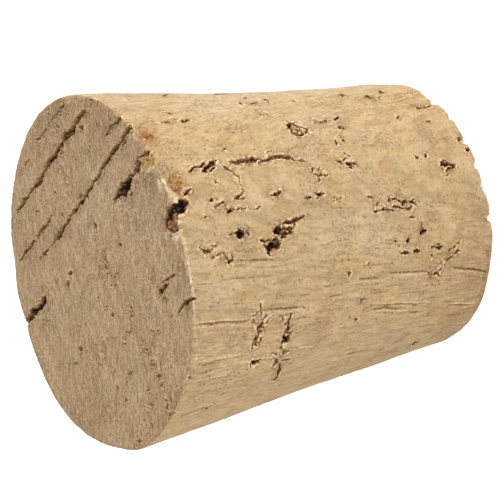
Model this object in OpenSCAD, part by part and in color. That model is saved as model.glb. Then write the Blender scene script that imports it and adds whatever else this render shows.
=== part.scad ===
// Tapered stopper, punched from natural cork bark and ground to a taper.
//
// It stands on its narrow end, centred on the origin, with Z up its axis. X runs through the bark from its
// inner to its outer side, so the bark's breathing channels, the lenticels, all run along X: they open as
// brown streaks on both end faces, as pores on the two sides that face along X, and as short cross cracks
// on the two sides between.

/* [Stopper] */
// Diameter of the wide end
wide_d = 40; // [32:0.5:60]
// Diameter of the narrow end
narrow_d = 33; // [26:0.5:50]
// Length from end to end
length = 45; // [30:0.5:80]
// Height of the worn bevel round the wide rim
wide_wear = 0.3; // [0.1:0.05:0.8]
// Height of the worn bevel round the narrow rim
narrow_wear = 0.25; // [0.1:0.05:0.8]
// How far the ground outline swells at its fullest place
swell = 0.5; // [0:0.05:1]

/* [Lenticels] */
// Depth of a channel for each millimetre of its width
channel_depth = 1.6; // [0.5:0.1:3]
// Depth of the finest crack
crack_depth = 0.35; // [0.2:0.05:1]
// Share of a channel's width that is left at its floor
floor_share = 0.3; // [0.1:0.05:0.8]
// How uneven a channel's sides are, as a share of its width
raggedness = 0.3; // [0:0.05:0.5]
// Depth that no channel goes past
deepest = 2; // [1:0.1:4]
// Depth that no shallow scar goes past
scar_depth = 0.5; // [0.2:0.05:1]
// Depth of a groove where a softer layer of growth has worn down
groove_depth = 0.2; // [0.1:0.05:0.4]

/* [Broken rim] */
// Height of the deepest chip out of the narrow rim
chip_height = 1; // [0.4:0.1:2]
// How far a chip bites in from the narrow rim
chip_bite = 1.4; // [0.6:0.1:3]

/* [Hidden] */

CORK = "tan";

// Corners round the outline, and steps up the side
outline_corners = 96;
side_steps = 8;
// Distance between two ragged corners of a channel's side
ragged_step = 1.1;
// A cut starts this far outside the skin, so that it opens cleanly
proud = 0.4;

// Marks are set out in millimetres on a 40 by 45 stopper, and keep their share of the real one
set_out_d = 40;
set_out_length = 45;

// Where the ground outline swells or dips: angle, half its spread, and its share of the full swell
WIDE_SWELLS = [
    [205, 18, 1], [260, 12, 0.4], [315, 16, 0.7], [85, 25, 0.3], [240, 9, -0.3], [148, 5, -1], [170, 4, -0.7]
];
NARROW_SWELLS = [[288, 22, 0.9], [335, 24, 0.6], [45, 18, 1], [20, 8, 0.5], [165, 20, 0.5], [225, 15, -0.4]];
// The same between the ends: angle, share of the length, half the spread of each, and share of the full swell
SIDE_SWELLS = [[65, 0.5, 25, 0.28, -0.9], [60, 0.12, 14, 0.08, 0.4], [255, 0.5, 18, 0.28, -0.4]];

// Channels across the wide end face: x, y and width along each one
WIDE_CHANNELS = [
    // the long streak near the upper rim, with a branch and an outlier
    [[-6.8, 14.3, 0.15], [-6, 14.4, 0.35], [-4, 14.3, 0.45], [-2.1, 14.4, 0.3], [-1, 14.6, 0.35],
        [0.1, 14.4, 0.5], [2.1, 14.25, 0.4], [4.4, 14.6, 0.25], [5.5, 14.9, 0.45], [7.4, 14.4, 0.35],
        [9, 14.65, 0.35], [10, 14.5, 0.3], [11.6, 14.25, 0.1]],
    [[5.2, 14.6, 0.3], [5.9, 14.4, 0.5], [6.6, 14.2, 0.45], [7.6, 14.05, 0.5]],
    [[-9.8, 14.3, 0.15], [-8.9, 14.45, 0.45], [-7.8, 14.35, 0.1]],
    // the longest streak, from a brown lens across to the rim
    [[-6.8, 7.1, 0.15], [-5.4, 7.1, 0.5], [-4.2, 7.15, 1], [-3, 7, 0.4], [-2.3, 7, 0.2]],
    [[-1.6, 7.1, 0.15], [-0.1, 7.35, 0.3], [1.5, 7.3, 0.35], [3.6, 7.3, 0.4], [5.6, 7.5, 0.4],
        [6.9, 7.45, 0.35], [8.2, 7.5, 0.3], [9.6, 7.6, 0.12]],
    [[10.4, 7.9, 0.15], [11.9, 7.7, 0.42], [13.2, 7.8, 0.3], [14.3, 7.85, 0.42], [15.4, 7.75, 0.2],
        [16.4, 7.85, 0.35], [17.5, 8.05, 0.3], [18.8, 7.6, 0.15]],
    // two short ones in line
    [[-15.3, 9.8, 0.15], [-13.2, 9.7, 0.32], [-12.4, 9.6, 0.18], [-10.8, 9.5, 0.38], [-9.4, 9.5, 0.2]],
    [[-7.5, 9.7, 0.2], [-6.9, 9.6, 0.28], [-6.2, 9.5, 0.18], [-4.9, 9.55, 0.38], [-3.8, 9.6, 0.1]],
    // a crack that widens towards the rim
    [[13.4, 10, 0.12], [14.4, 10.05, 0.2], [15.6, 10, 0.15], [16.6, 9.75, 0.32], [17.3, 9.65, 0.1]],
    // a cavity in two lobes with a chipped end at the rim
    [[9.9, 4, 0.12], [11.3, 3.85, 0.5], [12.7, 3.8, 1.25], [13.9, 3.85, 0.75], [14.6, 4, 0.3],
        [15.9, 3.9, 0.3], [16.8, 4, 0.8], [17.3, 4.5, 0.6], [18.3, 4.45, 0.15], [19.6, 4.1, 0.35],
        [20.5, 4, 0.5]],
    // a straight fissure with a blunt end, open at the rim
    [[-21, 3.1, 0.9], [-18.3, 3.3, 0.45], [-16.4, 3.2, 0.9], [-14.4, 3.05, 0.8], [-12.45, 3.2, 0.55]],
    // the torn mouth at the rim
    [[16, -3.25, 0.1], [17.5, -3.45, 0.25], [18.4, -2.7, 0.85], [20.7, -3, 0.8]],
    [[17.6, -3.5, 0.2], [18.8, -4.3, 0.3], [20.5, -4, 0.4]],
    // cracks below the middle
    [[11, -8.2, 0.12], [12, -8.2, 0.45], [13.4, -8.2, 0.12]],
    [[12.6, -7.6, 0.1], [14.6, -7.9, 0.22], [15.4, -7.95, 0.12]],
    [[13.1, -11.45, 0.12], [15.4, -11.35, 0.38], [17.5, -11.7, 0.1]]
];

// Shallow scars in the wide end face, set out the same way
WIDE_SCARS = [
    // brown lenses beside the streaks
    [[-5.4, 13.9, 0.2], [-3.9, 13.9, 0.55], [-2.2, 14.1, 0.2]],
    [[-10.4, 7.05, 0.12], [-8.5, 7.2, 0.32], [-7.4, 7, 0.12]],
    // a faint streak by the upper rim
    [[-0.6, 17.9, 0.12], [1.5, 17.7, 0.22], [2.3, 17.75, 0.12]],
    [[3.3, 17.8, 0.1], [5.7, 17.55, 0.22], [7.9, 17.4, 0.25]]
];

// Pits in the wide end face: x, y and width
WIDE_PITS = [
    [-6, 1.75, 0.45], [-4.6, 2.45, 0.25], [-1.5, 8.6, 0.35], [4.25, 3.9, 0.45], [3.5, 2.65, 0.3],
    [3.6, 0, 0.5], [3.1, -0.85, 0.35], [-7.1, -3.1, 0.3], [-8.9, -5.3, 0.4], [-11.1, -6, 0.35],
    [-3.2, -14.2, 0.25], [-0.3, -12.2, 0.3], [16.1, 3, 0.35], [14.5, 2.6, 0.35], [4.9, -6.6, 0.3]
];

// Pores and cracks down the side: angle, height and width along each one
SIDE_CHANNELS = [
    // the cavity where a channel breaks the wide rim, and a slit beside it
    [[-9.5, 45.8, 1.4], [-8.6, 44.9, 1.1], [-8, 44.2, 1.2], [-7, 43.7, 0.9], [-6.4, 43.2, 0.35]],
    [[-3.9, 43.05, 0.15], [-3.3, 42.7, 0.32], [-2.4, 42, 0.1]],
    // the hole above the long crack, and its tail
    [[2.9, 39.2, 0.3], [4.3, 39, 0.5], [5.5, 37.9, 0.6], [6.6, 37.1, 0.12]],
    [[3.3, 41.4, 0.1], [4.5, 40.7, 0.2], [4.8, 39.7, 0.12], [5.3, 39.3, 0.28], [6, 38.9, 0.25]],
    // a round pore with an island in it
    [[14.2, 24.2, 0.25], [14.7, 24.7, 0.42], [16.3, 24.95, 0.15]],
    [[18.2, 24.8, 0.28], [19.2, 24.8, 0.42], [20.2, 24, 0.15]],
    [[19.9, 24.1, 0.15], [18.9, 23.9, 0.38], [17.5, 23.4, 0.15], [17, 22.8, 0.42], [15.6, 23.1, 0.15],
        [14.6, 24, 0.22]],
    // dashes beside it
    [[19.9, 21, 0.12], [20, 20.7, 0.35], [20.1, 20.2, 0.15], [20.4, 19.8, 0.35], [20.6, 19.1, 0.12]],
    [[20.3, 17.9, 0.12], [21, 17.6, 0.35], [22, 16.9, 0.1]],
    // the two big pores, one with arms
    [[-26.4, 34.2, 0.3], [-24.9, 34.1, 0.8], [-23.5, 33.4, 0.9], [-22, 33.1, 0.2]],
    [[-19.6, 32.9, 0.5], [-19.3, 32.2, 0.7], [-19.9, 31, 0.4], [-19.4, 30.6, 0.25]],
    [[-22, 32.3, 0.15], [-21.3, 31.9, 0.5], [-20.2, 30.7, 0.2], [-18.3, 30.1, 0.1]],
    [[-19, 32.9, 0.3], [-17.6, 31.5, 0.25], [-17.2, 29.8, 0.38], [-16.3, 28.5, 0.1]],
    // single pores round them
    [[-19.5, 37.8, 0.45], [-18.7, 37.5, 0.95], [-18.1, 37.3, 0.4]],
    [[-11.3, 38.3, 0.35], [-10.9, 38, 0.5], [-10.6, 37.4, 0.1]],
    [[-7.4, 37, 0.12], [-6.8, 36.5, 0.32], [-6.3, 36, 0.2]],
    [[-21.3, 42.7, 0.12], [-22.1, 42.2, 0.4], [-21.6, 41.4, 0.1]],
    [[-26.4, 39.65, 0.3], [-26, 39.3, 0.32], [-25.2, 39.1, 0.2]],
    [[-7.5, 32.2, 0.1], [-7.8, 31.6, 0.32], [-6.9, 30.7, 0.1]],
    [[24.2, 38.2, 0.2], [24.9, 37.9, 0.45], [25.7, 37, 0.15]],
    [[29.7, 38.6, 0.2], [30.6, 39.1, 0.3], [31.3, 39.4, 0.3]],
    [[-8.7, 26.2, 0.15], [-9.8, 25.6, 0.42], [-9.8, 24.8, 0.15]],
    [[-5, 24.9, 0.1], [-4.3, 24.8, 0.28], [-2, 24.95, 0.1]],
    [[-2.1, 19.8, 0.2], [-0.7, 19.8, 0.25], [0.6, 20, 0.2]],
    [[8.3, 20, 0.15], [9.5, 19.9, 0.28], [10.6, 19.8, 0.12]],
    [[11.3, 18.8, 0.12], [11.8, 18.6, 0.35], [12.6, 18.8, 0.12]],
    // cross cracks where the channels lie along the side
    [[-56.2, 36.65, 0.1], [-53.8, 36.75, 0.2], [-52.3, 36.2, 0.42], [-50.4, 36, 0.42], [-48.7, 36.45, 0.18]],
    [[-48.9, 36.2, 0.3], [-48, 35.85, 0.35], [-46.5, 35.6, 0.25], [-45.2, 35.1, 0.1]],
    [[-75, 31.3, 0.25], [-74.3, 31.5, 0.38], [-72.6, 31.4, 0.22], [-70, 31.45, 0.38], [-67.5, 31.6, 0.18],
        [-65.5, 31.4, 0.3], [-65.1, 30.7, 0.2]],
    [[-66.6, 32.4, 0.35], [-65, 32.5, 0.38], [-63.5, 32.4, 0.15], [-61.5, 31.7, 0.28], [-61.8, 31, 0.1]],
    [[-60, 32.1, 0.12], [-58.2, 32.3, 0.2], [-56.4, 32.4, 0.12]],
    [[-56.9, 31.7, 0.55], [-56.2, 31.9, 0.75], [-55.2, 32.35, 0.3], [-52.3, 32.1, 0.32], [-50, 31.9, 0.38],
        [-46.9, 31.7, 0.1]],
    [[-61.4, 36.25, 0.15], [-62.6, 35.6, 0.75], [-61.7, 34.8, 0.12]],
    // pores of the lower half
    [[-29.4, 11.9, 0.45], [-28.9, 11.6, 0.75], [-28.6, 10.9, 0.25]],
    [[-28.4, 11.7, 0.4], [-26.4, 11.7, 0.15]],
    [[-35.2, 15.3, 0.1], [-35.4, 14.8, 0.32], [-35.5, 14.2, 0.12]],
    [[-35.4, 13.3, 0.15], [-35.6, 12.9, 0.48], [-36.1, 12.4, 0.2]],
    [[-35.6, 10.3, 0.12], [-36.5, 9.1, 0.48], [-36.2, 8.7, 0.3]],
    [[-18.5, 17.1, 0.28], [-19.2, 16.1, 0.15], [-19.6, 15.8, 0.22], [-19.3, 15.5, 0.1]],
    [[-18.3, 15.6, 0.15], [-18.1, 15.1, 0.28], [-19.4, 14.2, 0.12], [-19.9, 13.3, 0.2], [-18.9, 12.6, 0.2]],
    [[-17.1, 12.8, 0.2], [-17.4, 12.5, 0.48], [-18.5, 12, 0.2]],
    [[-15.9, 15.9, 0.38], [-15, 15.7, 0.3], [-14.6, 15.6, 0.12]],
    [[-4.8, 6.2, 0.2], [-5.2, 5.6, 0.62], [-5, 5, 0.6], [-5.7, 3.95, 0.45]],
    [[-4.6, 6.2, 0.12], [-3.2, 5.3, 0.2], [-4.6, 4.8, 0.3]],
    [[-7.6, 5.7, 0.15], [-6.5, 5, 0.15], [-6.2, 4, 0.2]],
    [[-1, 9.55, 0.12], [-0.5, 9.35, 0.32], [-0.4, 9, 0.12]],
    [[-0.7, 7.9, 0.25], [0, 7.7, 0.38], [0.6, 7.6, 0.12]],
    [[24.3, 4.2, 0.25], [24.8, 3.8, 0.48], [24.8, 2.6, 0.15], [25.7, 1.6, 0.25]],
    [[-40.8, 7.1, 0.12], [-39.8, 6.4, 0.48], [-39.6, 6, 0.15]],
    [[-46, 9.9, 0.15], [-46.3, 9.6, 0.45], [-47.6, 9, 0.25]],
    [[32.8, 8.8, 0.3], [33.8, 9.1, 0.6], [35.8, 9.3, 0.5], [36.4, 9.1, 0.2]],
    [[-84.6, 8.4, 0.2], [-83.2, 8.6, 0.6], [-80.6, 8.9, 0.15]],
    [[-57, 21.4, 0.12], [-56.5, 21.6, 0.28], [-56.1, 21.8, 0.15]]
];

// Shallow scars down the side, set out the same way
SIDE_SCARS = [
    // the long crack in two parts
    [[5.5, 35.5, 0.45], [5.3, 35, 0.75], [5.4, 33, 0.85], [5.6, 32.3, 0.6], [5.9, 31.7, 0.2]],
    [[4.2, 31.9, 0.12], [4.7, 31.3, 0.42], [5.7, 29.8, 0.7], [6, 29, 0.7], [5, 27.8, 0.42], [4, 27.1, 0.2],
        [3.2, 26, 0.3], [3, 25.6, 0.12]],
    // hollows torn out beside the wide rim
    [[17.8, 43.9, 1], [19.5, 44.1, 2], [21.4, 44.2, 1]],
    [[7.4, 45, 0.8], [9.3, 45.2, 1.6], [11.2, 45.1, 0.8]],
    // stained patches
    [[27.6, 27.15, 0.2], [27.1, 27.1, 0.35], [26.2, 26.4, 0.35]],
    [[-18.1, 13.9, 0.3], [-17.4, 13.9, 0.38], [-16.5, 13.45, 0.2]]
];

// Grooves down the side, where it cuts across the layers of growth, set out the same way
GROOVES = [
    [[-42.6, 44.6, 0.15], [-43.5, 42.4, 0.35], [-44, 40.6, 0.3], [-45.1, 39, 0.35], [-45.2, 37.2, 0.12]],
    [[-43.3, 35.9, 0.15], [-44.2, 33.3, 0.35], [-45.4, 31, 0.35], [-47.5, 29.1, 0.12]],
    [[-41, 21.8, 0.15], [-42, 19.5, 0.35], [-42.6, 18.5, 0.15]],
    [[-41.5, 17.2, 0.15], [-42.6, 15, 0.4], [-43.6, 13, 0.4], [-45, 10.5, 0.15]],
    [[-45, 7.3, 0.15], [-47.4, 5, 0.4], [-50.2, 2, 0.45], [-51.8, 0.6, 0.3]],
    [[-54.4, 20.5, 0.12], [-54.9, 17, 0.35], [-57, 15, 0.3], [-57.8, 13.5, 0.12]],
    [[-53.2, 18.6, 0.12], [-55.2, 14.8, 0.35], [-58.4, 11.7, 0.15]]
];

// Chips out of the narrow rim: angle, half its spread, and height as a share of the deepest
CHIPS = [
    [-28.5, 3.5, 0.9], [-22, 6, 0.45], [-16, 3.5, 1], [-8, 3.5, 1], [-11, 5, 0.6], [3.8, 2.5, 1],
    [16, 2, 0.6], [27.5, 2.5, 0.9]
];

// The far side, the two cross-cut sides and the narrow end are marked by rule, as the bark would mark them:
// how many, and between which angles and which shares of the length
BACK_PORES = 22;
BACK_ANGLES = [122, 238];
CROSS_CRACKS = 5;
CROSS_ANGLES = [[70, 110], [233, 252]];
MARK_HEIGHTS = [0.08, 0.92];
NARROW_CHANNELS = 8;

// ------------------------------------------------------------------ the ground body

// How far the outline stands out at an angle, from a list of swells
function stand_out(angle, swells) =
    swell * [for (s = swells) s[2] * exp(-pow(turn(angle - s[0]) / s[1], 2))] * [for (s = swells) 1];

// How far the side stands out between the ends, at an angle and a share of the length
function bulge(angle, up) =
    swell * [
        for (s = SIDE_SWELLS)
            s[4] * exp(-pow(turn(angle - s[0]) / s[2], 2) - pow((up - s[1]) / s[3], 2))
    ] * [for (s = SIDE_SWELLS) 1];

// An angle brought to between -180 and 180
function turn(angle) = angle - 360 * round(angle / 360);

// Radius of the stopper at an angle and a height
function side_r(angle, z) =
    let (up = z / length)
    (narrow_d / 2 + stand_out(angle, NARROW_SWELLS)) * (1 - up)
    + (wide_d / 2 + stand_out(angle, WIDE_SWELLS)) * up + bulge(angle, up);

// One ring of the outline's corners, drawn in by a bevel
function ring(z, drawn_in) = [
    for (i = [0 : outline_corners - 1])
        let (angle = i * 360 / outline_corners, r = side_r(angle, z) - drawn_in)
        [r * cos(angle), r * sin(angle), z]
];

// Triangles between rings a and b of n corners each, seen clockwise from outside
function band(a, b, n) = [
    for (i = [0 : n - 1])
        let (j = (i + 1) % n)
        each [[a * n + i, b * n + i, b * n + j], [a * n + i, b * n + j, a * n + j]]
];

module blank() {
    n = outline_corners;
    rise = (length - wide_wear - narrow_wear) / side_steps;
    rings = [
        ring(0, narrow_wear),
        for (k = [0 : side_steps]) ring(narrow_wear + rise * k, 0),
        ring(length, wide_wear)
    ];
    last = len(rings) - 1;
    polyhedron(
        [for (r = rings) each r],
        concat([[for (i = [0 : n - 1]) i]], [for (a = [0 : last - 1]) each band(a, a + 1, n)],
            [[for (i = [n - 1 : -1 : 0]) last * n + i]])
    );
}

// ------------------------------------------------------------------ channels, pores and cracks

// Millimetres round the side for each degree, at half its height
arc_mm = PI * (wide_d + narrow_d) / 2 / 360;

// A path of marks in millimetres over its own surface: along, up and width
function laid_out(path, on) = [
    for (p = path)
        on == "side" ? [p[0] * arc_mm, p[1] * length / set_out_length, p[2]]
        : let (share = (on == "wide" ? wide_d : narrow_d) / set_out_d) [p[0] * share, p[1] * share, p[2]]
];

// A place on a surface, from its millimetres over that surface and the depth under it
function under(along, up, depth, on) =
    on == "wide" ? [along, up, length - depth]
    : on == "narrow" ? [along, -up, depth]
    : let (angle = along / arc_mm, r = side_r(angle, up) - depth) [r * cos(angle), r * sin(angle), up];

// A path with corners added, so that its sides can be ragged
function stepped(path) = [
    for (i = [0 : len(path) - 2])
        let (
            from = path[i],
            to = path[i + 1],
            steps = ceil(norm([to[0] - from[0], to[1] - from[1]]) / ragged_step)
        )
        for (k = [0 : steps - 1]) from + (to - from) * k / steps,
    path[len(path) - 1]
];

// The four corners of a cut at one station: two outside the skin and two on its floor
function station(path, i, on, shift, wider, limit) =
    let (
        ahead = path[min(i + 1, len(path) - 1)] - path[max(i - 1, 0)],
        left = [-ahead[1], ahead[0]] / norm([ahead[0], ahead[1]]),
        half = path[i][2] / 2 * (1 + wider),
        middle = [path[i][0], path[i][1]] + left * path[i][2] * shift / 2,
        depth = min(limit, crack_depth + channel_depth * path[i][2])
    )
    [for (corner = [[1, -proud], [-1, -proud], [-floor_share, depth], [floor_share, depth]])
        let (at = middle + left * half * corner[0]) under(at[0], at[1], corner[1], on)];

// A ragged cut along a path, open at the skin and narrower at its floor
module cut(path, on, seed, limit) {
    way = stepped(laid_out(path, on));
    n = len(way);
    uneven = rands(-raggedness, raggedness, 2 * n, seed);
    polyhedron(
        [for (i = [0 : n - 1]) each station(way, i, on, uneven[i], uneven[n + i], limit)],
        concat([[0, 1, 2], [0, 2, 3]], [for (i = [0 : n - 2]) each band(i, i + 1, 4)],
            [[4 * n - 4, 4 * n - 2, 4 * n - 3], [4 * n - 4, 4 * n - 1, 4 * n - 2]])
    );
}

// A pit as long as it is wide
module pit(at, on, seed) {
    half = at[2] / 2;
    cut([[at[0] - half, at[1], half], at, [at[0] + half, at[1], half]], on, seed, deepest);
}

// A number between the two of a pair, at a share of the way
function between(pair, share) = pair[0] + (pair[1] - pair[0]) * share;

// A share from 0 to 1 that is always the same for a seed and a count
function pick(seed, k) = let (x = sin(seed * 78.233 + k * 37.719) * 43758.5453) x - floor(x);

// A pore on the far side, longer up the side than round it
module back_pore(seed) {
    angle = between(BACK_ANGLES, pick(seed, 0));
    height = set_out_length * between(MARK_HEIGHTS, pick(seed, 1));
    width = between([0.3, 1.2], pow(pick(seed, 2), 2));
    half = between([0.3, 1.3], pick(seed, 3));
    lean = between([-2, 2], pick(seed, 4));
    path = [
        [angle - lean, height - half, width * 0.4], [angle, height, width],
        [angle + lean, height + half, width * 0.3]
    ];
    cut(path, "side", seed, deepest);
}

// A crack that runs round one of the cross-cut sides, along a channel
module cross_crack(angles, seed) {
    angle = between(angles, pick(seed, 0));
    height = set_out_length * between(MARK_HEIGHTS, pick(seed, 1));
    width = between([0.2, 0.7], pick(seed, 2));
    half = between([4, 11], pick(seed, 3));
    path = [
        [angle - half, height, 0.12], [angle - half / 3, height + 0.2, width],
        [angle + half / 2, height - 0.1, width / 2], [angle + half, height + 0.1, 0.1]
    ];
    cut(path, "side", seed, deepest);
}

// A channel across the narrow end, one of a row spread over the end
module narrow_channel(i, seed) {
    rim = set_out_d / 2;
    y = rim * (2 * (i + pick(seed, 0)) / NARROW_CHANNELS - 1) * 0.9;
    reach = sqrt(rim * rim - y * y);
    start = between([-0.9, 0.2], pick(seed, 1)) * reach;
    run = between([3, 13], pick(seed, 2));
    width = between([0.3, 0.9], pick(seed, 3));
    path = [
        [start, y, 0.12], [start + run * 0.3, y + 0.2, width], [start + run * 0.7, y - 0.1, width / 2],
        [start + run, y, 0.1]
    ];
    cut(path, "narrow", seed, deepest);
}

// Cuts along each path of a list, with seeds that count up from the first
module cuts(paths, on, first_seed, limit) {
    for (i = [0 : len(paths) - 1]) cut(paths[i], on, first_seed + i, limit);
}

// A chip out of the narrow rim: a sloping bite, deepest at its middle
module chip(c, seed) {
    steps = 4;
    uneven = rands(1 - raggedness, 1 + raggedness, steps + 1, seed);
    corners = [[0.5, 1.5], [0.5, -0.5], [-1.5, -0.5]];
    polyhedron(
        [
            for (i = [0 : steps])
                let (
                    across = 2 * i / steps - 1,
                    angle = c[0] + c[1] * across,
                    share = c[2] * uneven[i] * (1.1 - across * across)
                )
                for (corner = corners)
                    let (r = side_r(angle, 0) + corner[0] * chip_bite * share)
                    [r * cos(angle), r * sin(angle), corner[1] * chip_height * share]
        ],
        concat([[0, 1, 2]], [for (i = [0 : steps - 1]) each band(i, i + 1, 3)],
            [[3 * steps, 3 * steps + 2, 3 * steps + 1]])
    );
}

module stopper() {
    color(CORK) difference() {
        blank();
        cuts(WIDE_CHANNELS, "wide", 0, deepest);
        for (i = [0 : len(WIDE_PITS) - 1]) pit(WIDE_PITS[i], "wide", 50 + i);
        cuts(WIDE_SCARS, "wide", 80, scar_depth);
        cuts(SIDE_CHANNELS, "side", 100, deepest);
        cuts(SIDE_SCARS, "side", 180, scar_depth);
        cuts(GROOVES, "side", 190, groove_depth);
        for (i = [0 : len(CHIPS) - 1]) chip(CHIPS[i], 200 + i);
        for (i = [0 : BACK_PORES - 1]) back_pore(300 + i);
        for (k = [0 : 1], i = [0 : CROSS_CRACKS - 1]) cross_crack(CROSS_ANGLES[k], 400 + 20 * k + i);
        for (i = [0 : NARROW_CHANNELS - 1]) narrow_channel(i, 500 + i);
    }
}

stopper();
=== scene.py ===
"""Cork stopper: a tapered plug of natural bark cork that stands on its narrow end.

One piece of cork replaces the plain solid. Its skin is laid out flat as a triangular lattice that is finest
along the pores, cracks and rims, wrapped round the plug, and then carved. Every length is in millimetres
until the mesh is made. X runs through the bark, so the lenticels, the bark's breathing channels, run along
X.
"""

import itertools
import math

import bmesh
import bpy
import numpy as np
from mathutils import Matrix, Vector
from mathutils.geometry import delaunay_2d_cdt


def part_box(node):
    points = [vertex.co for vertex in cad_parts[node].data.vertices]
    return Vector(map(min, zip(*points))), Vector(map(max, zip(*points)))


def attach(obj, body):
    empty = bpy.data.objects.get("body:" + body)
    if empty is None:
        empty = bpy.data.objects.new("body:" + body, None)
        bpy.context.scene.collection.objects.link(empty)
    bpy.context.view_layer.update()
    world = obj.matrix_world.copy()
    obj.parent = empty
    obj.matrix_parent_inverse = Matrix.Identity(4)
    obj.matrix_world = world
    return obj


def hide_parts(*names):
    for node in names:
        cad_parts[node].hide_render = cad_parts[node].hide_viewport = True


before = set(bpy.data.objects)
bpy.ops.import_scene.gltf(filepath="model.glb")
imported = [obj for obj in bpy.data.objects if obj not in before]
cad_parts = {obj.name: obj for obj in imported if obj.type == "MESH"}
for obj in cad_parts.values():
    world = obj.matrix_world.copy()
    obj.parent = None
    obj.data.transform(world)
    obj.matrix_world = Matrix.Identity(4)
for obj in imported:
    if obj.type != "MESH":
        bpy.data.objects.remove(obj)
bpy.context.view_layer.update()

# ---------------------------------------------------------------- sizes

MM = 0.001
low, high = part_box("stopper")
LENGTH = (high[2] - low[2]) / MM
WIDE_R = 20.0
NARROW_R = 16.5
# Rounding of the worn rims
WIDE_WEAR = 0.3
NARROW_WEAR = 0.25
# How far the ground outline swells at its fullest: angle, half its spread, share of the full swell
SWELL = 0.5
WIDE_SWELLS = [
    [205, 18, 1], [260, 12, 0.4], [315, 16, 0.7], [85, 25, 0.3], [240, 9, -0.3], [148, 5, -1],
    [170, 4, -0.7],
]
NARROW_SWELLS = [[288, 22, 0.9], [335, 24, 0.6], [45, 18, 1], [20, 8, 0.5], [165, 20, 0.5], [225, 15, -0.4]]
# The same between the ends: angle, share of the length, half the spread of each, share of the full swell
SIDE_SWELLS = [[65, 0.5, 25, 0.28, -0.9], [60, 0.12, 14, 0.08, 0.4], [255, 0.5, 18, 0.28, -0.4]]

# Depth of a cut: at its finest, for each millimetre of width, and at most in a pore and in a shallow scar
CRACK_DEPTH = 0.1
CHANNEL_DEPTH = 1.1
PORE_DEEPEST = 2.0
SCAR_DEEPEST = 0.32
# The wall of a cut starts just outside its edge. How far inside it ends: at least, for each millimetre of
# half width, and the half width past which that stays the same
WALL_START = -0.02
WALL_LEAST = 0.03
WALL_SHARE = 0.7
WALL_FULL = 0.35
# How much wider the saw has torn the channels open on the wide end
SAWN_OPEN = 1.4
# The torn lip beside a mark: its height, how far outside the edge it stands and half its width. How far
# outside the edge the crumbs beside a mark start and are full
TORN_LIP, TORN_LIP_OUT, TORN_LIP_HALF = 0.1, 0.15, 0.12
BESIDE_FADE = (-0.8, -0.1)
# Shares of its size at which a hollow ends and at which it is full
HOLLOW_FADE = (1.1, 0.5)
# The crumbled rim of the narrow end: its usual height, how far all of it is let down, and how far in from
# the rim a chip bites for each millimetre of its height
RIM_HEIGHT = 0.12
RIM_DROP = 0.1
CHIP_BITE = 1.4

# The rings of growth stack up along this way, a little off X
RING_WAY = (1, 0, -0.15)
# How much longer than thick the layers of a ring are
RING_RUN = 8
# The relief of plain cork fades out this near a rim
RELIEF_FADE = 0.5
# A growth line's half width, and the ridge beside a groove: its height as a share of the groove's, and how
# many half widths off it is
LINE_HALF = 0.12
RIDGE = 0.7
RIDGE_OFF = 2

# Millimetres round the side for each degree, at half its height
ARC = math.pi * (WIDE_R + NARROW_R) / 360
# The side is cut open here, and its picture map is parted half a turn on, both out of the usual view
SEAM = -112
# Between these angles the side is in the usual view
SEEN = (-104, 60)
# Room between the skins in the picture map, and round an end
PICTURE_GAP = 1.5
END_ROOM = 0.5

# Spacing of the lattice: along edges, near them, and on plain cork in and out of the usual view
FINE, CLOSE, PLAIN, FAR = 0.1, 0.2, 0.4, 0.8
# How far from a mark the lattice stays fine and close, and how far its halo reaches
FINE_REACH, CLOSE_REACH, REACH = 0.15, 0.45, 1.2
# How broad the bands of closer lattice are: at the foot of the side, at its rims, and at the ends' rims
FOOT, SIDE_RIM, END_RIM = 1.0, 1.2, 0.8
# A hollow deeper than this gets the finest lattice
HOLLOW_LEAST = 0.02
# Places keep this share of their spacing off an outline
CLEAR = 0.6
# Places this share of the finest spacing from a crack's middle, or from an edge, are moved onto it
TO_MIDDLE, TO_EDGE = 0.6, 0.5
# A crack of less than this half width has a middle and no floor
THIN = 0.12
# Marks of another skin cut this far into a skin's rim
RIM_REACH = 2.6
# How far past a corner the cork round a cut is still tinted
BEYOND = 0.3
# Points this near each other are joined, edges this short are taken out, and corners sharper than these
# degrees stay sharp
WELD, SLIVER, SHARP = 0.004, 0.002, 50
# Stands in for nothing where that would be divided by
TINY = 1e-6

# ---------------------------------------------------------------- noises: height, size in millimetres, seed

# How a mark's edge strays each way, how its width and its depth change along it, and the least of both
EDGE_STRAYS = [[(0.1, 0.5, 1), (0.05, 0.22, 3)], [(0.1, 0.5, 2), (0.05, 0.22, 4)]]
WIDTH_NOISES = [(0.45, 0.3, 5), (0.3, 1, 7)]
DEPTH_NOISES = [(0.35, 1.1, 6), (0.45, 0.5, 8), (0.4, 0.25, 9)]
USUAL_DEPTH = 0.95
LEAST_WIDTH, LEAST_DEPTH = 0.6, 0.15
# Plain cork: swells, layers of growth, and grains that are coarser in patches
SWELL_NOISES = [(0.06, 5, 20)]
LAYER_NOISES = [(0.05, 1.1, 21), (0.03, 0.6, 22)]
GRAINS = [(0.03, 0.5, 23)]
GRAIN_PATCHES = [(1, 7, 24)]
USUAL_GRAIN = 1.2
# A torn hollow: its edge, its floor and the crumbs on it
HOLLOW_EDGE = [(0.25, 0.6, 27)]
HOLLOW_FLOOR = [(0.5, 0.6, 26), (0.5, 0.28, 30)]
HOLLOW_CRUMBS = [(0.1, 0.22, 31)]
# Where a mark has a lip, from none to a full one, and the crumbs beside it
LIP_PATCHES = [(1, 0.7, 28)]
LIP_FADE = (-0.3, 0.4)
BESIDE_CRUMBS = [(0.09, 0.38, 29)]
# The crumbled rim of the narrow end where chance says, and its crumbs all round
RIM_NOISES = [(0.12, 1.6, 40)]
RIM_CRUMBS = [(0.12, 0.5, 41), (0.08, 0.22, 42)]
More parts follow.
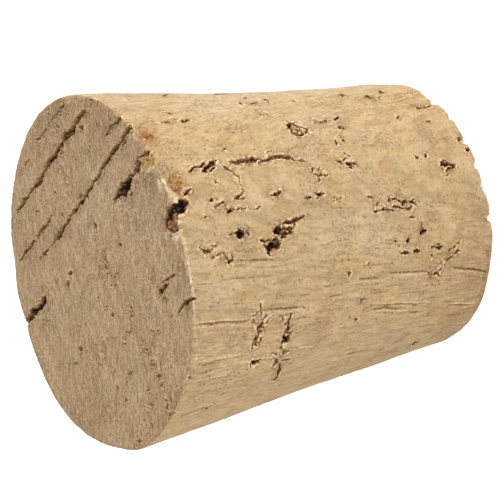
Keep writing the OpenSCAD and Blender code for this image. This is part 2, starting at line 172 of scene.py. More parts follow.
# How the rounding of the rims changes round the plug
WEAR_NOISES = [(0.5, 1.5, 45), (0.3, 0.5, 46)]
# The edge of a stain or of a painted highlight spot, and the shares of its size at which it ends and at
# which it is full
STAIN_AND_HIGHLIGHT_EDGE = [(0.35, 0.8, 50), (0.2, 0.3, 51)]
STAIN_AND_HIGHLIGHT_FADE = (1.3, 0.3)

# ---------------------------------------------------------------- marks of the wide end: x, y, width

WIDE_PORES = [
    # the thin floors of the two long streaks
    [[-10.8, 14.3, 0.15], [-3, 14.3, 0.3], [5, 14.5, 0.35], [11.5, 14.2, 0.15]],
    [[-6, 7.1, 0.2], [3, 7.35, 0.25], [11.5, 7.75, 0.25], [18.4, 7.85, 0.2]],
    # the long streak near the upper rim, with a branch and an outlier
    [[-6.8, 14.3, 0.15], [-6, 14.4, 0.35], [-5.3, 14.3, 0.25], [-4.8, 14.2, 0.35], [-4, 14.3, 0.45],
     [-3.3, 14.35, 0.35], [-2.7, 14.4, 0.4], [-2.1, 14.4, 0.3], [-1.5, 14.35, 0.15], [-1, 14.6, 0.35],
     [0.1, 14.4, 0.5], [0.7, 14.5, 0.3], [1.2, 14.3, 0.35], [2.1, 14.25, 0.4], [2.8, 14.45, 0.25],
     [3.7, 14.6, 0.3], [4.4, 14.6, 0.2], [5.1, 14.8, 0.35], [5.5, 14.9, 0.45], [6.3, 14.6, 0.35],
     [7.4, 14.4, 0.35], [8.2, 14.4, 0.4], [9, 14.65, 0.35], [9.7, 14.6, 0.2], [10, 14.5, 0.3],
     [11.1, 14.4, 0.22], [11.6, 14.25, 0.1]],
    [[5.2, 14.6, 0.3], [5.9, 14.4, 0.5], [6.6, 14.2, 0.45], [7.2, 14, 0.35], [7.6, 14.05, 0.5]],
    [[-9.8, 14.3, 0.15], [-8.9, 14.45, 0.45], [-8.3, 14.4, 0.3], [-7.8, 14.35, 0.1]],
    # the longest streak, from a brown lens across to the rim
    [[-5.1, 7, 0.3], [-4.5, 7.05, 0.6], [-4, 7, 0.5], [-3.4, 6.8, 0.25]],
    [[-1.6, 7.1, 0.15], [-0.9, 7.2, 0.3], [-0.1, 7.35, 0.3], [0.7, 7.35, 0.25], [1.5, 7.3, 0.35],
     [2.3, 7.25, 0.2], [3.1, 7.4, 0.15], [3.6, 7.3, 0.4], [4.3, 7.35, 0.25], [5, 7.4, 0.35],
     [5.6, 7.5, 0.4], [6.3, 7.4, 0.3], [6.9, 7.45, 0.35], [7.4, 7.6, 0.15], [8.2, 7.5, 0.3], [9, 7.5, 0.3],
     [9.6, 7.6, 0.12]],
    [[6.8, 7.8, 0.12], [7.3, 7.65, 0.25], [7.8, 7.6, 0.12]],
    [[10.4, 7.9, 0.15], [10.8, 7.8, 0.35], [11.2, 7.65, 0.2], [11.9, 7.7, 0.42], [12.5, 7.75, 0.32],
     [13.2, 7.8, 0.3], [14, 7.85, 0.42], [14.6, 7.8, 0.42], [15.3, 7.7, 0.2]],
    [[15.7, 7.9, 0.12], [16.4, 7.85, 0.35], [16.9, 7.95, 0.25], [17.5, 8.05, 0.3], [18.2, 8.05, 0.2]],
    [[15.5, 7.3, 0.2], [16.1, 7.35, 0.15], [16.7, 7.3, 0.2]],
    [[17.8, 7.9, 0.12], [18.3, 7.75, 0.2], [18.8, 7.6, 0.15]],
    [[3.3, 8, 0.2], [3.7, 8, 0.35], [4, 7.95, 0.15]],
    # the short ones in line
    [[-15.3, 9.8, 0.15], [-14.2, 9.6, 0.25], [-13.2, 9.7, 0.32], [-12.4, 9.6, 0.18], [-11.6, 9.55, 0.3],
     [-10.8, 9.5, 0.38], [-10.2, 9.55, 0.3], [-9.4, 9.5, 0.2]],
    [[-8.3, 9.45, 0.15], [-7.9, 9.5, 0.18], [-7.5, 9.7, 0.2], [-6.9, 9.6, 0.28], [-6.2, 9.5, 0.18],
     [-5.4, 9.5, 0.25], [-4.9, 9.55, 0.38], [-4.6, 9.6, 0.15], [-3.8, 9.6, 0.1]],
    # a crack that widens towards the rim
    [[13.4, 10, 0.12], [13.8, 9.9, 0.15], [14.4, 10.05, 0.2], [15, 10.1, 0.12], [15.6, 10, 0.15],
     [16.1, 9.9, 0.2], [16.6, 9.75, 0.32], [17, 9.7, 0.2], [17.3, 9.65, 0.1]],
    # a cavity in two lobes
    [[9.9, 4, 0.12], [10.6, 3.95, 0.2], [11.3, 3.85, 0.5], [12, 3.85, 0.9], [12.7, 3.8, 1.25],
     [13.3, 3.75, 1.0], [13.9, 3.85, 0.75], [14.5, 3.75, 0.4]],
    [[14.4, 4.25, 0.12], [15.2, 3.95, 0.22], [15.9, 3.9, 0.3], [16.3, 3.95, 0.6], [16.8, 4, 0.8],
     [17.2, 4.2, 0.5]],
    [[16.6, 4.4, 0.4], [17.1, 4.6, 0.4], [17.4, 4.7, 0.15]],
    [[17.3, 4.7, 0.1], [18.3, 4.45, 0.15], [18.9, 4.25, 0.28], [19.6, 4.1, 0.3]],
    # a straight fissure with a blunt end, open at the rim
    [[-20.6, 3.2, 0.9], [-19.4, 3.2, 0.55], [-18.3, 3.3, 0.45], [-17.5, 3.25, 0.6], [-16.8, 3.3, 0.85],
     [-16, 3.1, 0.85], [-15.2, 3.05, 0.7], [-14.4, 3.05, 0.8], [-13.6, 3.05, 0.7], [-12.9, 3.1, 0.65],
     [-12.45, 3.2, 0.5]],
    # the torn mouth at the rim
    [[16.6, -3.7, 0.1], [17.3, -3.5, 0.35], [17.9, -3.0, 0.5], [18.5, -2.75, 0.6], [19.2, -2.7, 0.75],
     [19.9, -2.8, 0.9], [20.6, -3, 1.0]],
    [[17.4, -3.9, 0.2], [17.9, -4.2, 0.45], [18.6, -4.7, 0.3], [19.1, -4.8, 0.2]],
    # cracks below the middle
    [[11, -8.2, 0.12], [11.6, -8.2, 0.45], [12.3, -8.2, 0.45], [12.9, -8.2, 0.3], [13.4, -8.2, 0.12]],
    [[12.6, -7.6, 0.1], [13.2, -7.6, 0.12], [13.8, -7.8, 0.2], [14.6, -7.9, 0.22], [15.4, -7.95, 0.12]],
    [[13.1, -11.45, 0.12], [13.9, -11.3, 0.2], [14.7, -11.3, 0.3], [15.4, -11.35, 0.38],
     [16.1, -11.4, 0.28], [16.9, -11.55, 0.2], [17.5, -11.7, 0.1]],
    # single pores
    [[-9.1, -5.25, 0.25], [-8.8, -5.3, 0.4], [-8.6, -5.3, 0.2]],
    [[-7.4, -3.05, 0.12], [-7, -3.2, 0.2]],
    [[-6.3, 1.75, 0.25], [-6, 1.75, 0.45], [-5.7, 1.7, 0.2]],
    [[-5.1, 2.65, 0.12], [-4.6, 2.45, 0.22], [-4.1, 2.45, 0.15]],
    [[4.2, 4.1, 0.25], [4.3, 3.8, 0.4]],
    [[3.3, 0.1, 0.2], [3.6, 0, 0.5], [3.65, -0.3, 0.35]],
    [[3.3, -0.6, 0.2], [3.1, -0.9, 0.35]],
    [[-1.7, 8.6, 0.3], [-1.4, 8.6, 0.25]],
    [[0.5, -5.5, 0.15], [0.8, -5.5, 0.28]],
    [[4.8, -6.6, 0.25], [5, -6.7, 0.3]],
    [[-0.5, -12.2, 0.25], [-0.2, -12.3, 0.3]],
    [[-3.4, -14.2, 0.25], [-3.1, -14.25, 0.2]],
    [[1.1, -16.8, 0.2], [1.4, -16.75, 0.25]],
    [[16, 3.05, 0.25], [16.2, 2.95, 0.35]],
    [[14.4, 2.65, 0.35], [14.65, 2.6, 0.2]],
    [[7.6, -0.3, 0.22], [7.8, -0.4, 0.22]],
    [[17.6, -9.9, 0.2], [17.9, -10, 0.28]],
    [[10, -17.4, 0.15], [10.3, -17.55, 0.28], [10.7, -17.65, 0.12]],
    [[13.6, 10, 0.15], [13.8, 9.95, 0.15]],
    [[-1.2, 11.4, 0.12], [-1, 11.2, 0.22]],
]

WIDE_SCARS = [
    # the lump in the torn mouth
    [[18.1, -3.6, 0.7], [18.8, -3.5, 1.0], [19.5, -3.5, 1.1], [20.3, -3.6, 1.1]],
    [[18.2, -4.1, 0.6], [18.9, -4.2, 0.8], [19.6, -4.2, 0.6]],
    # the brown lenses round the streaks
    [[-10.6, 14.3, 0.2], [-9.9, 14.3, 0.5], [-9, 14.2, 0.6], [-8.2, 14.3, 0.3]],
    [[-5.4, 13.9, 0.2], [-4.7, 13.9, 0.5], [-3.9, 13.9, 0.55], [-3, 13.95, 0.45], [-2.2, 14.1, 0.2]],
    [[-6.8, 7.1, 0.15], [-6, 7, 0.25], [-5.4, 7.1, 0.5], [-4.7, 7.2, 0.9], [-4.2, 7.15, 1.0],
     [-3.7, 7.1, 0.8], [-3, 7, 0.4], [-2.3, 7, 0.2]],
    [[-10.4, 7.05, 0.12], [-9.3, 7.15, 0.25], [-8.5, 7.2, 0.32], [-7.9, 7.1, 0.25], [-7.4, 7, 0.12]],
    [[9.3, 13.5, 0.4], [9.6, 13.3, 0.45], [9.7, 13.1, 0.2]],
    [[3.1, 13.8, 0.15], [3.6, 13.6, 0.2], [4, 13.6, 0.2], [4.2, 14.2, 0.15]],
    # the faint streak by the upper rim
    [[-0.6, 17.9, 0.12], [-0.2, 17.75, 0.25], [0.6, 17.7, 0.2], [1.5, 17.7, 0.22], [2.3, 17.75, 0.12]],
    [[3.3, 17.8, 0.1], [4, 17.8, 0.18], [4.8, 17.75, 0.2], [5.7, 17.55, 0.22], [6.6, 17.5, 0.15],
     [7.4, 17.45, 0.28], [7.9, 17.4, 0.25]],
    [[-5.8, 17.5, 0.1], [-4.8, 17.35, 0.2], [-4, 17.3, 0.25]],
    [[4.2, 17.25, 0.2], [4.4, 16.9, 0.22], [4.6, 16.5, 0.2], [5, 16.2, 0.12]],
    [[3.6, 18.75, 0.2], [3.9, 18.65, 0.25]],
    [[6.2, 17, 0.2], [6.5, 16.95, 0.22]],
    [[13, 14.7, 0.12], [13.4, 14.45, 0.15]],
    [[13.2, 14.2, 0.12], [13.9, 14.05, 0.25], [14.2, 14, 0.12]],
    # a worn band along the ring that crosses the end, darkest where it is broken
    [[4.5, -11.6, 0.2], [4.8, -11.8, 0.25]],
    [[4.7, -13.1, 0.2], [5.1, -13.15, 0.15]],
    [[4.6, -13.6, 0.25], [5, -13.65, 0.3], [5.3, -13.6, 0.15]],
    [[4.9, -15, 0.2], [5.3, -15.05, 0.15]],
    [[4.5, -15.95, 0.2], [5, -16, 0.3], [5.3, -15.95, 0.15]],
    [[4.4, -17.6, 0.2], [4.8, -17.7, 0.2]],
    [[4.2, -18.3, 0.35], [4.5, -18.2, 0.3]],
    [[4, -19, 0.35], [4.3, -19.1, 0.3]],
    [[4.7, -19.2, 0.2], [5, -19.4, 0.25]],
    [[3.6, 2.7, 0.3], [3.2, 2.6, 0.2]],
    [[3.8, 3.3, 0.2], [4, 3.15, 0.25]],
    [[4.2, 0.9, 0.2], [4.5, 0.75, 0.35]],
    [[3.5, -1.7, 0.2], [3.8, -2, 0.15]],
    [[3.9, -2.5, 0.25], [4.2, -2.6, 0.3]],
    [[4.7, -2.4, 0.15], [5, -2.55, 0.22]],
    [[2.6, -2.9, 0.22], [2.9, -2.95, 0.15]],
    [[3.4, -3.2, 0.15], [3.9, -3.3, 0.15]],
    [[4.1, -7.5, 0.2], [4.5, -7.55, 0.22]],
    # rubbed places
    [[1.1, -8.5, 0.25], [1.3, -8.9, 0.3]],
    [[2, -8.3, 0.2], [2.4, -8.6, 0.18], [3, -8.7, 0.15], [3.6, -8.6, 0.12]],
    [[0.6, -9, 0.12], [1.1, -9.3, 0.2]],
    [[-11.3, -5.9, 0.25], [-11, -6.1, 0.35]],
    [[-14.9, 1, 0.2], [-14, 0.95, 0.25]],
    [[-4.4, -11.9, 0.3], [-4.2, -12.3, 0.35]],
    [[11.6, -9, 0.15], [12.1, -9.1, 0.2], [12.3, -9.4, 0.15]],
    [[15.9, -7.9, 0.12], [16.7, -7.9, 0.12]],
    [[13.8, -17, 0.12], [14.4, -17.25, 0.15]],
    [[8.2, -11.1, 0.15], [8.6, -11.15, 0.15]],
    [[7.2, -10.8, 0.2], [7.35, -10.8, 0.15]],
    [[-1.8, -12.7, 0.25], [-1.5, -12.5, 0.2]],
    [[-0.2, -18.5, 0.2], [0, -18.5, 0.22]],
    [[-5, -19, 0.2], [-4.7, -19.05, 0.25]],
    [[-4, -18.9, 0.3], [-3.7, -18.9, 0.25]],
    [[1.7, -15.2, 0.15], [2, -15.25, 0.2]],
    [[-6.7, 11.9, 0.2], [-6.4, 11.6, 0.2]],
    [[-0.9, -0.1, 0.18], [-0.8, 0.2, 0.15]],
    [[-1.2, -2.4, 0.15], [-0.8, -2.6, 0.15]],
    [[-0.2, -4.1, 0.15], [0.1, -4.2, 0.15]],
]

# ---------------------------------------------------------------- marks of the side: angle, height, width

SIDE_PORES = [
    # the torn mouth where a channel breaks the wide rim
    [[-8.4, 45.6, 0.9], [-8.1, 44.9, 1.0], [-7.7, 44.3, 1.15], [-7, 43.8, 1.0], [-6.4, 43.3, 0.7],
     [-5.9, 42.9, 0.2]],
    [[-3.9, 43.05, 0.15], [-3.3, 42.7, 0.32], [-2.8, 42.3, 0.25], [-2.4, 42, 0.1]],
    # the hole above the long crack
    [[2.9, 39.2, 0.3], [3.5, 39.15, 0.45], [4.3, 39, 0.5], [4.9, 38.5, 0.5], [5.5, 37.9, 0.6],
     [6.2, 37.4, 0.4], [6.6, 37.1, 0.12]],
    [[3.3, 39.5, 0.2], [3.5, 39.3, 0.3]],
    [[3.3, 41.4, 0.1], [3.6, 41, 0.12], [4.5, 40.7, 0.2], [4.7, 40.2, 0.2], [4.8, 39.7, 0.12],
     [5.3, 39.3, 0.28], [6, 38.9, 0.25]],
    [[2.9, 38.6, 0.25], [3.5, 38.2, 0.2], [4, 37.8, 0.12]],
    # the two big pores
    [[-26.4, 34.2, 0.3], [-25.6, 34.3, 0.5], [-24.9, 34.1, 0.8], [-24.2, 33.8, 0.9], [-23.5, 33.4, 0.9],
     [-22.6, 33.2, 0.6], [-22, 33.1, 0.2]],
    [[-24.7, 33, 0.4], [-23.5, 32.8, 0.5]],
    [[-19.6, 32.9, 0.5], [-19.3, 32.2, 0.7], [-19.5, 31.5, 0.3], [-19.9, 31, 0.4], [-19.2, 31, 0.3],
     [-19.4, 30.6, 0.25]],
    [[-22, 32.3, 0.15], [-21.3, 31.9, 0.5], [-20.8, 31.3, 0.3], [-20.2, 30.7, 0.2], [-19.2, 30.3, 0.15],
     [-18.3, 30.1, 0.1]],
    [[-19, 32.9, 0.3], [-18, 32.3, 0.28], [-17.6, 31.5, 0.25], [-17.5, 30.6, 0.3], [-17.2, 29.8, 0.38],
     [-16.7, 29.2, 0.25], [-16.3, 28.5, 0.1]],
    # single pores on the seen side, from the wide end down
    [[-21.3, 42.7, 0.12], [-22.1, 42.4, 0.38], [-22.1, 42, 0.4], [-21.8, 41.6, 0.22], [-21.6, 41.4, 0.1]],
    [[-26.4, 39.65, 0.3], [-26, 39.3, 0.32], [-25.2, 39.1, 0.2]],
    [[-19.5, 37.8, 0.45], [-18.7, 37.5, 0.95], [-18.1, 37.3, 0.4]],
    [[-17.9, 38.1, 0.2], [-18, 37.7, 0.32]],
    [[-11.3, 38.3, 0.35], [-10.9, 38, 0.5], [-10.6, 37.7, 0.22], [-10.6, 37.4, 0.1]],
    [[-7.4, 37, 0.12], [-7, 36.6, 0.32], [-6.6, 36.3, 0.32], [-6.3, 36, 0.2]],
    [[-6.9, 40.1, 0.12], [-6.6, 39.95, 0.25], [-6.2, 39.7, 0.12]],
    [[-12, 41.45, 0.15], [-11.8, 41.35, 0.28]],
    [[-11.6, 34.55, 0.1], [-11.2, 34.3, 0.22], [-10.9, 34, 0.12]],
    [[-7.5, 32.2, 0.1], [-7.8, 31.8, 0.32], [-7.8, 31.4, 0.28], [-7.4, 31, 0.15], [-6.9, 30.7, 0.1]],
    [[-10.5, 27.6, 0.1], [-10.3, 27.2, 0.22], [-10, 26.9, 0.12]],
    [[-8.7, 26.2, 0.15], [-9.3, 25.9, 0.2], [-9.8, 25.6, 0.42], [-9.6, 25.2, 0.32], [-9.8, 24.8, 0.15]],
    [[-5, 24.9, 0.1], [-4.3, 24.8, 0.28], [-3.5, 24.9, 0.15], [-2.6, 24.85, 0.15], [-2, 24.95, 0.1]],
    [[-1.2, 25.3, 0.15], [-0.6, 25.2, 0.25], [0, 25.1, 0.12]],
    [[-1, 24.6, 0.15], [-0.7, 24.3, 0.25], [-0.3, 24.1, 0.12]],
    [[-3.2, 24.6, 0.15], [-2.7, 24.3, 0.15], [-2.9, 23.9, 0.25], [-3.1, 23.6, 0.15], [-2.9, 23.4, 0.1]],
    [[-39, 23.5, 0.12], [-38.2, 23.35, 0.3], [-37.7, 23.1, 0.12]],
    [[24.2, 38.2, 0.2], [24.9, 37.9, 0.45], [25.3, 37.4, 0.3], [25.7, 37, 0.15]],
    [[29.6, 39.1, 0.1], [29.7, 38.6, 0.2], [30, 38.9, 0.15], [30.6, 39.1, 0.3], [31.3, 39.4, 0.3]],
    # the round pore with an island in it
    [[14.2, 24.2, 0.35], [14.7, 24.7, 0.5], [15.5, 24.9, 0.45], [16.6, 25, 0.3], [18.2, 24.9, 0.4],
     [19.3, 24.9, 0.6], [20.1, 24.4, 0.4], [20.5, 23.6, 0.1]],
    [[19.9, 24.1, 0.25], [18.9, 23.8, 0.42], [17.9, 23.3, 0.3], [17, 22.8, 0.5], [16.4, 22.75, 0.35],
     [15.5, 23.1, 0.35], [14.7, 23.8, 0.4], [14.3, 24.2, 0.3]],
    [[19.9, 21, 0.12], [20, 20.7, 0.35], [20.1, 20.2, 0.15], [20.4, 19.8, 0.35], [20.5, 19.4, 0.3],
     [20.6, 19.1, 0.12]],
    [[20.3, 17.9, 0.12], [21, 17.6, 0.35], [21.6, 17.3, 0.25], [22, 16.9, 0.1]],
    # the ladder of small pores at half height
    [[-2.1, 19.8, 0.2], [-1.6, 19.7, 0.3], [-0.7, 19.8, 0.2], [0, 19.9, 0.32], [0.6, 20, 0.2]],
    [[0, 19.9, 0.12], [0.1, 19.5, 0.28], [0.2, 19.2, 0.15], [-0.3, 18.95, 0.25]],
    [[8.3, 20, 0.15], [9.5, 19.9, 0.28], [10.6, 19.8, 0.12]],
    [[11.3, 18.8, 0.12], [11.8, 18.6, 0.35], [12.6, 18.8, 0.12]],
    [[15.3, 18.2, 0.15], [16.1, 18.1, 0.35], [16.9, 18.1, 0.1]],
    [[15.2, 17.8, 0.12], [15.7, 17.6, 0.25], [16.3, 17.45, 0.12]],
    # cross cracks where the channels lie along the side
    [[-56.2, 36.65, 0.1], [-55, 36.7, 0.15], [-53.8, 36.75, 0.2], [-53, 36.45, 0.3], [-52.3, 36.2, 0.42],
     [-51.2, 36, 0.3], [-50.4, 36, 0.42], [-49.8, 36.1, 0.2], [-49.3, 36.3, 0.15], [-48.7, 36.45, 0.18]],
    [[-48.9, 36.2, 0.3], [-48.6, 36, 0.42], [-48, 35.85, 0.3], [-47.3, 35.75, 0.3], [-46.5, 35.6, 0.25],
     [-45.8, 35.4, 0.22], [-45.2, 35.1, 0.1]],
    [[-54.9, 36.1, 0.12], [-54, 36.2, 0.18], [-53.6, 36.1, 0.12]],
    [[-64, 36, 0.12], [-63, 36.05, 0.2], [-62.2, 36.05, 0.3]],
    [[-61.4, 36.25, 0.15], [-62.1, 35.9, 0.5], [-62.6, 35.6, 0.75], [-62.3, 35.3, 0.6], [-61.9, 35.1, 0.3],
     [-61.7, 34.8, 0.12]],
    [[-75, 31.3, 0.25], [-74.3, 31.5, 0.38], [-73.6, 31.5, 0.3], [-72.6, 31.4, 0.22], [-71.2, 31.4, 0.32],
     [-70, 31.45, 0.38], [-68.8, 31.55, 0.25], [-67.5, 31.6, 0.18], [-66.8, 31.6, 0.2], [-66.2, 31.5, 0.28],
     [-65.5, 31.4, 0.3], [-65.2, 31, 0.2], [-65.1, 30.7, 0.2]],
    [[-66.6, 32.4, 0.35], [-65.8, 32.5, 0.42], [-65, 32.4, 0.3], [-64.1, 32.5, 0.38], [-63.5, 32.4, 0.15],
     [-62.7, 32.2, 0.12], [-62, 32, 0.12], [-61.5, 31.7, 0.28], [-61.7, 31.3, 0.2], [-61.8, 31, 0.1]],
    [[-56.9, 31.7, 0.55], [-56.4, 31.9, 0.75], [-55.8, 32.1, 0.5], [-55.2, 32.35, 0.3], [-54.5, 32.3, 0.25],
     [-53.8, 32.15, 0.28], [-53, 32.1, 0.25], [-52.3, 32.1, 0.32], [-51.6, 31.9, 0.3], [-50.8, 31.9, 0.3],
     [-50, 31.9, 0.38], [-49.3, 31.8, 0.3], [-48.5, 31.75, 0.25], [-47.7, 31.75, 0.2], [-46.9, 31.7, 0.1]],
    [[-60, 32.1, 0.12], [-59.2, 32.3, 0.2], [-58.2, 32.3, 0.2], [-57.2, 32.3, 0.22], [-56.4, 32.4, 0.12]],
    # pores of the lower half
    [[-35.2, 15.3, 0.1], [-35.4, 14.8, 0.32], [-35.5, 14.2, 0.12]],
    [[-35.4, 13.3, 0.15], [-35.6, 12.9, 0.48], [-36.1, 12.4, 0.2]],
    [[-35.6, 10.3, 0.12], [-35.4, 10, 0.15], [-36.3, 9.6, 0.2], [-36.5, 9.1, 0.48], [-36.2, 8.7, 0.3]],
    [[-29.4, 11.9, 0.45], [-28.9, 11.6, 0.75], [-28.7, 11.2, 0.5], [-28.6, 10.9, 0.25]],
    [[-28.4, 11.7, 0.4], [-27.6, 11.75, 0.25], [-27, 11.8, 0.2], [-26.4, 11.7, 0.15]],
    [[-22.8, 13.4, 0.1], [-23, 12.9, 0.28], [-23.3, 12.6, 0.12]],
    [[-18.8, 18.4, 0.25], [-18.6, 18.1, 0.38]],
    [[-18.5, 17.1, 0.28], [-18.8, 16.6, 0.18], [-19.2, 16.1, 0.15], [-19.6, 15.8, 0.22],
     [-19.3, 15.5, 0.1]],
    [[-18.3, 15.6, 0.15], [-18.2, 15.2, 0.28], [-18, 14.9, 0.15], [-18.8, 14.6, 0.12], [-19.4, 14.2, 0.12],
     [-19.6, 13.8, 0.12], [-19.9, 13.3, 0.2], [-19.6, 13, 0.12], [-19.4, 12.7, 0.2], [-18.9, 12.6, 0.2]],
    [[-17.1, 12.8, 0.2], [-17.4, 12.5, 0.48], [-17.9, 12.2, 0.3], [-18.5, 12, 0.2]],
    [[-17.1, 12.5, 0.2], [-16.4, 12.2, 0.12]],
    [[-15.9, 15.9, 0.38], [-15, 15.7, 0.3], [-14.6, 15.6, 0.12]],
    [[-16.6, 17.8, 0.15], [-16, 17.6, 0.32], [-15.7, 17.5, 0.1]],
    [[-49.4, 21.45, 0.15], [-49.1, 21.3, 0.38], [-48.7, 21, 0.2]],
    [[-57, 21.4, 0.12], [-56.5, 21.6, 0.28], [-56.1, 21.8, 0.15]],
    [[-40.8, 7.1, 0.12], [-40.2, 6.8, 0.15], [-39.8, 6.4, 0.48], [-39.6, 6, 0.15]],
    [[-41.9, 7.9, 0.12], [-41.5, 7.4, 0.25], [-41, 7, 0.15]],
    [[-38.6, 7.6, 0.35], [-38.2, 7.4, 0.25]],
    [[-37.4, 6.75, 0.25], [-37.1, 6.6, 0.2]],
    [[-46, 9.9, 0.15], [-46.3, 9.6, 0.45], [-46.9, 9.2, 0.3], [-47.6, 9, 0.25]],
    [[-45.6, 9, 0.25], [-45, 8.9, 0.25], [-44.2, 8.7, 0.15], [-44, 8.4, 0.18]],
    [[-4.8, 6.2, 0.2], [-5.2, 5.6, 0.45], [-4.9, 5, 0.42], [-5.2, 4.4, 0.35], [-5.7, 3.95, 0.4]],
    [[-4.6, 6.2, 0.12], [-3.6, 5.8, 0.2], [-3.2, 5.3, 0.2], [-3.8, 5, 0.28], [-4.6, 4.8, 0.3]],
    [[-7.6, 5.7, 0.15], [-7.2, 5.3, 0.2], [-6.5, 5, 0.15], [-6.6, 4.4, 0.2], [-6.2, 4, 0.2]],
    [[-1, 9.55, 0.12], [-0.5, 9.35, 0.32], [-0.4, 9, 0.12]],
    [[-0.7, 7.9, 0.25], [0, 7.7, 0.38], [0.6, 7.6, 0.12]],
    [[24.3, 4.2, 0.25], [24.8, 3.9, 0.48], [24.8, 3.4, 0.35], [24.8, 2.6, 0.15], [25.1, 2, 0.32],
     [25.7, 1.6, 0.2]],
    [[0.3, 1, 0.15], [0.5, 0.8, 0.42], [0.6, 0.4, 0.15]],
    [[5.2, 1.3, 0.2], [5.7, 1.1, 0.42], [6.3, 0.8, 0.2]],
    # towards the edge of the view
    [[32.8, 8.8, 0.3], [33.8, 9.1, 0.6], [34.8, 9.3, 0.3]],
    [[35.3, 9.6, 0.3], [35.8, 9.3, 0.6], [36.4, 9.1, 0.2]],
    [[38.4, 6.6, 0.3], [39, 6.3, 0.7], [39.8, 5.9, 0.3]],
    [[36.6, 24.3, 0.2], [37, 24.1, 0.5], [37.6, 23.8, 0.2]],
    [[46.8, 28.9, 0.2], [47.6, 28.6, 0.6], [48.3, 28.3, 0.2]],
    [[48.3, 27.6, 0.2], [49.2, 27.1, 0.5], [50, 26.6, 0.2]],
    [[41.8, 45.4, 0.2], [43, 45.2, 0.4], [44.2, 44.8, 0.15]],
    [[-84.6, 8.4, 0.2], [-83.2, 8.6, 0.6], [-82, 8.7, 0.5], [-80.6, 8.9, 0.15]],
]

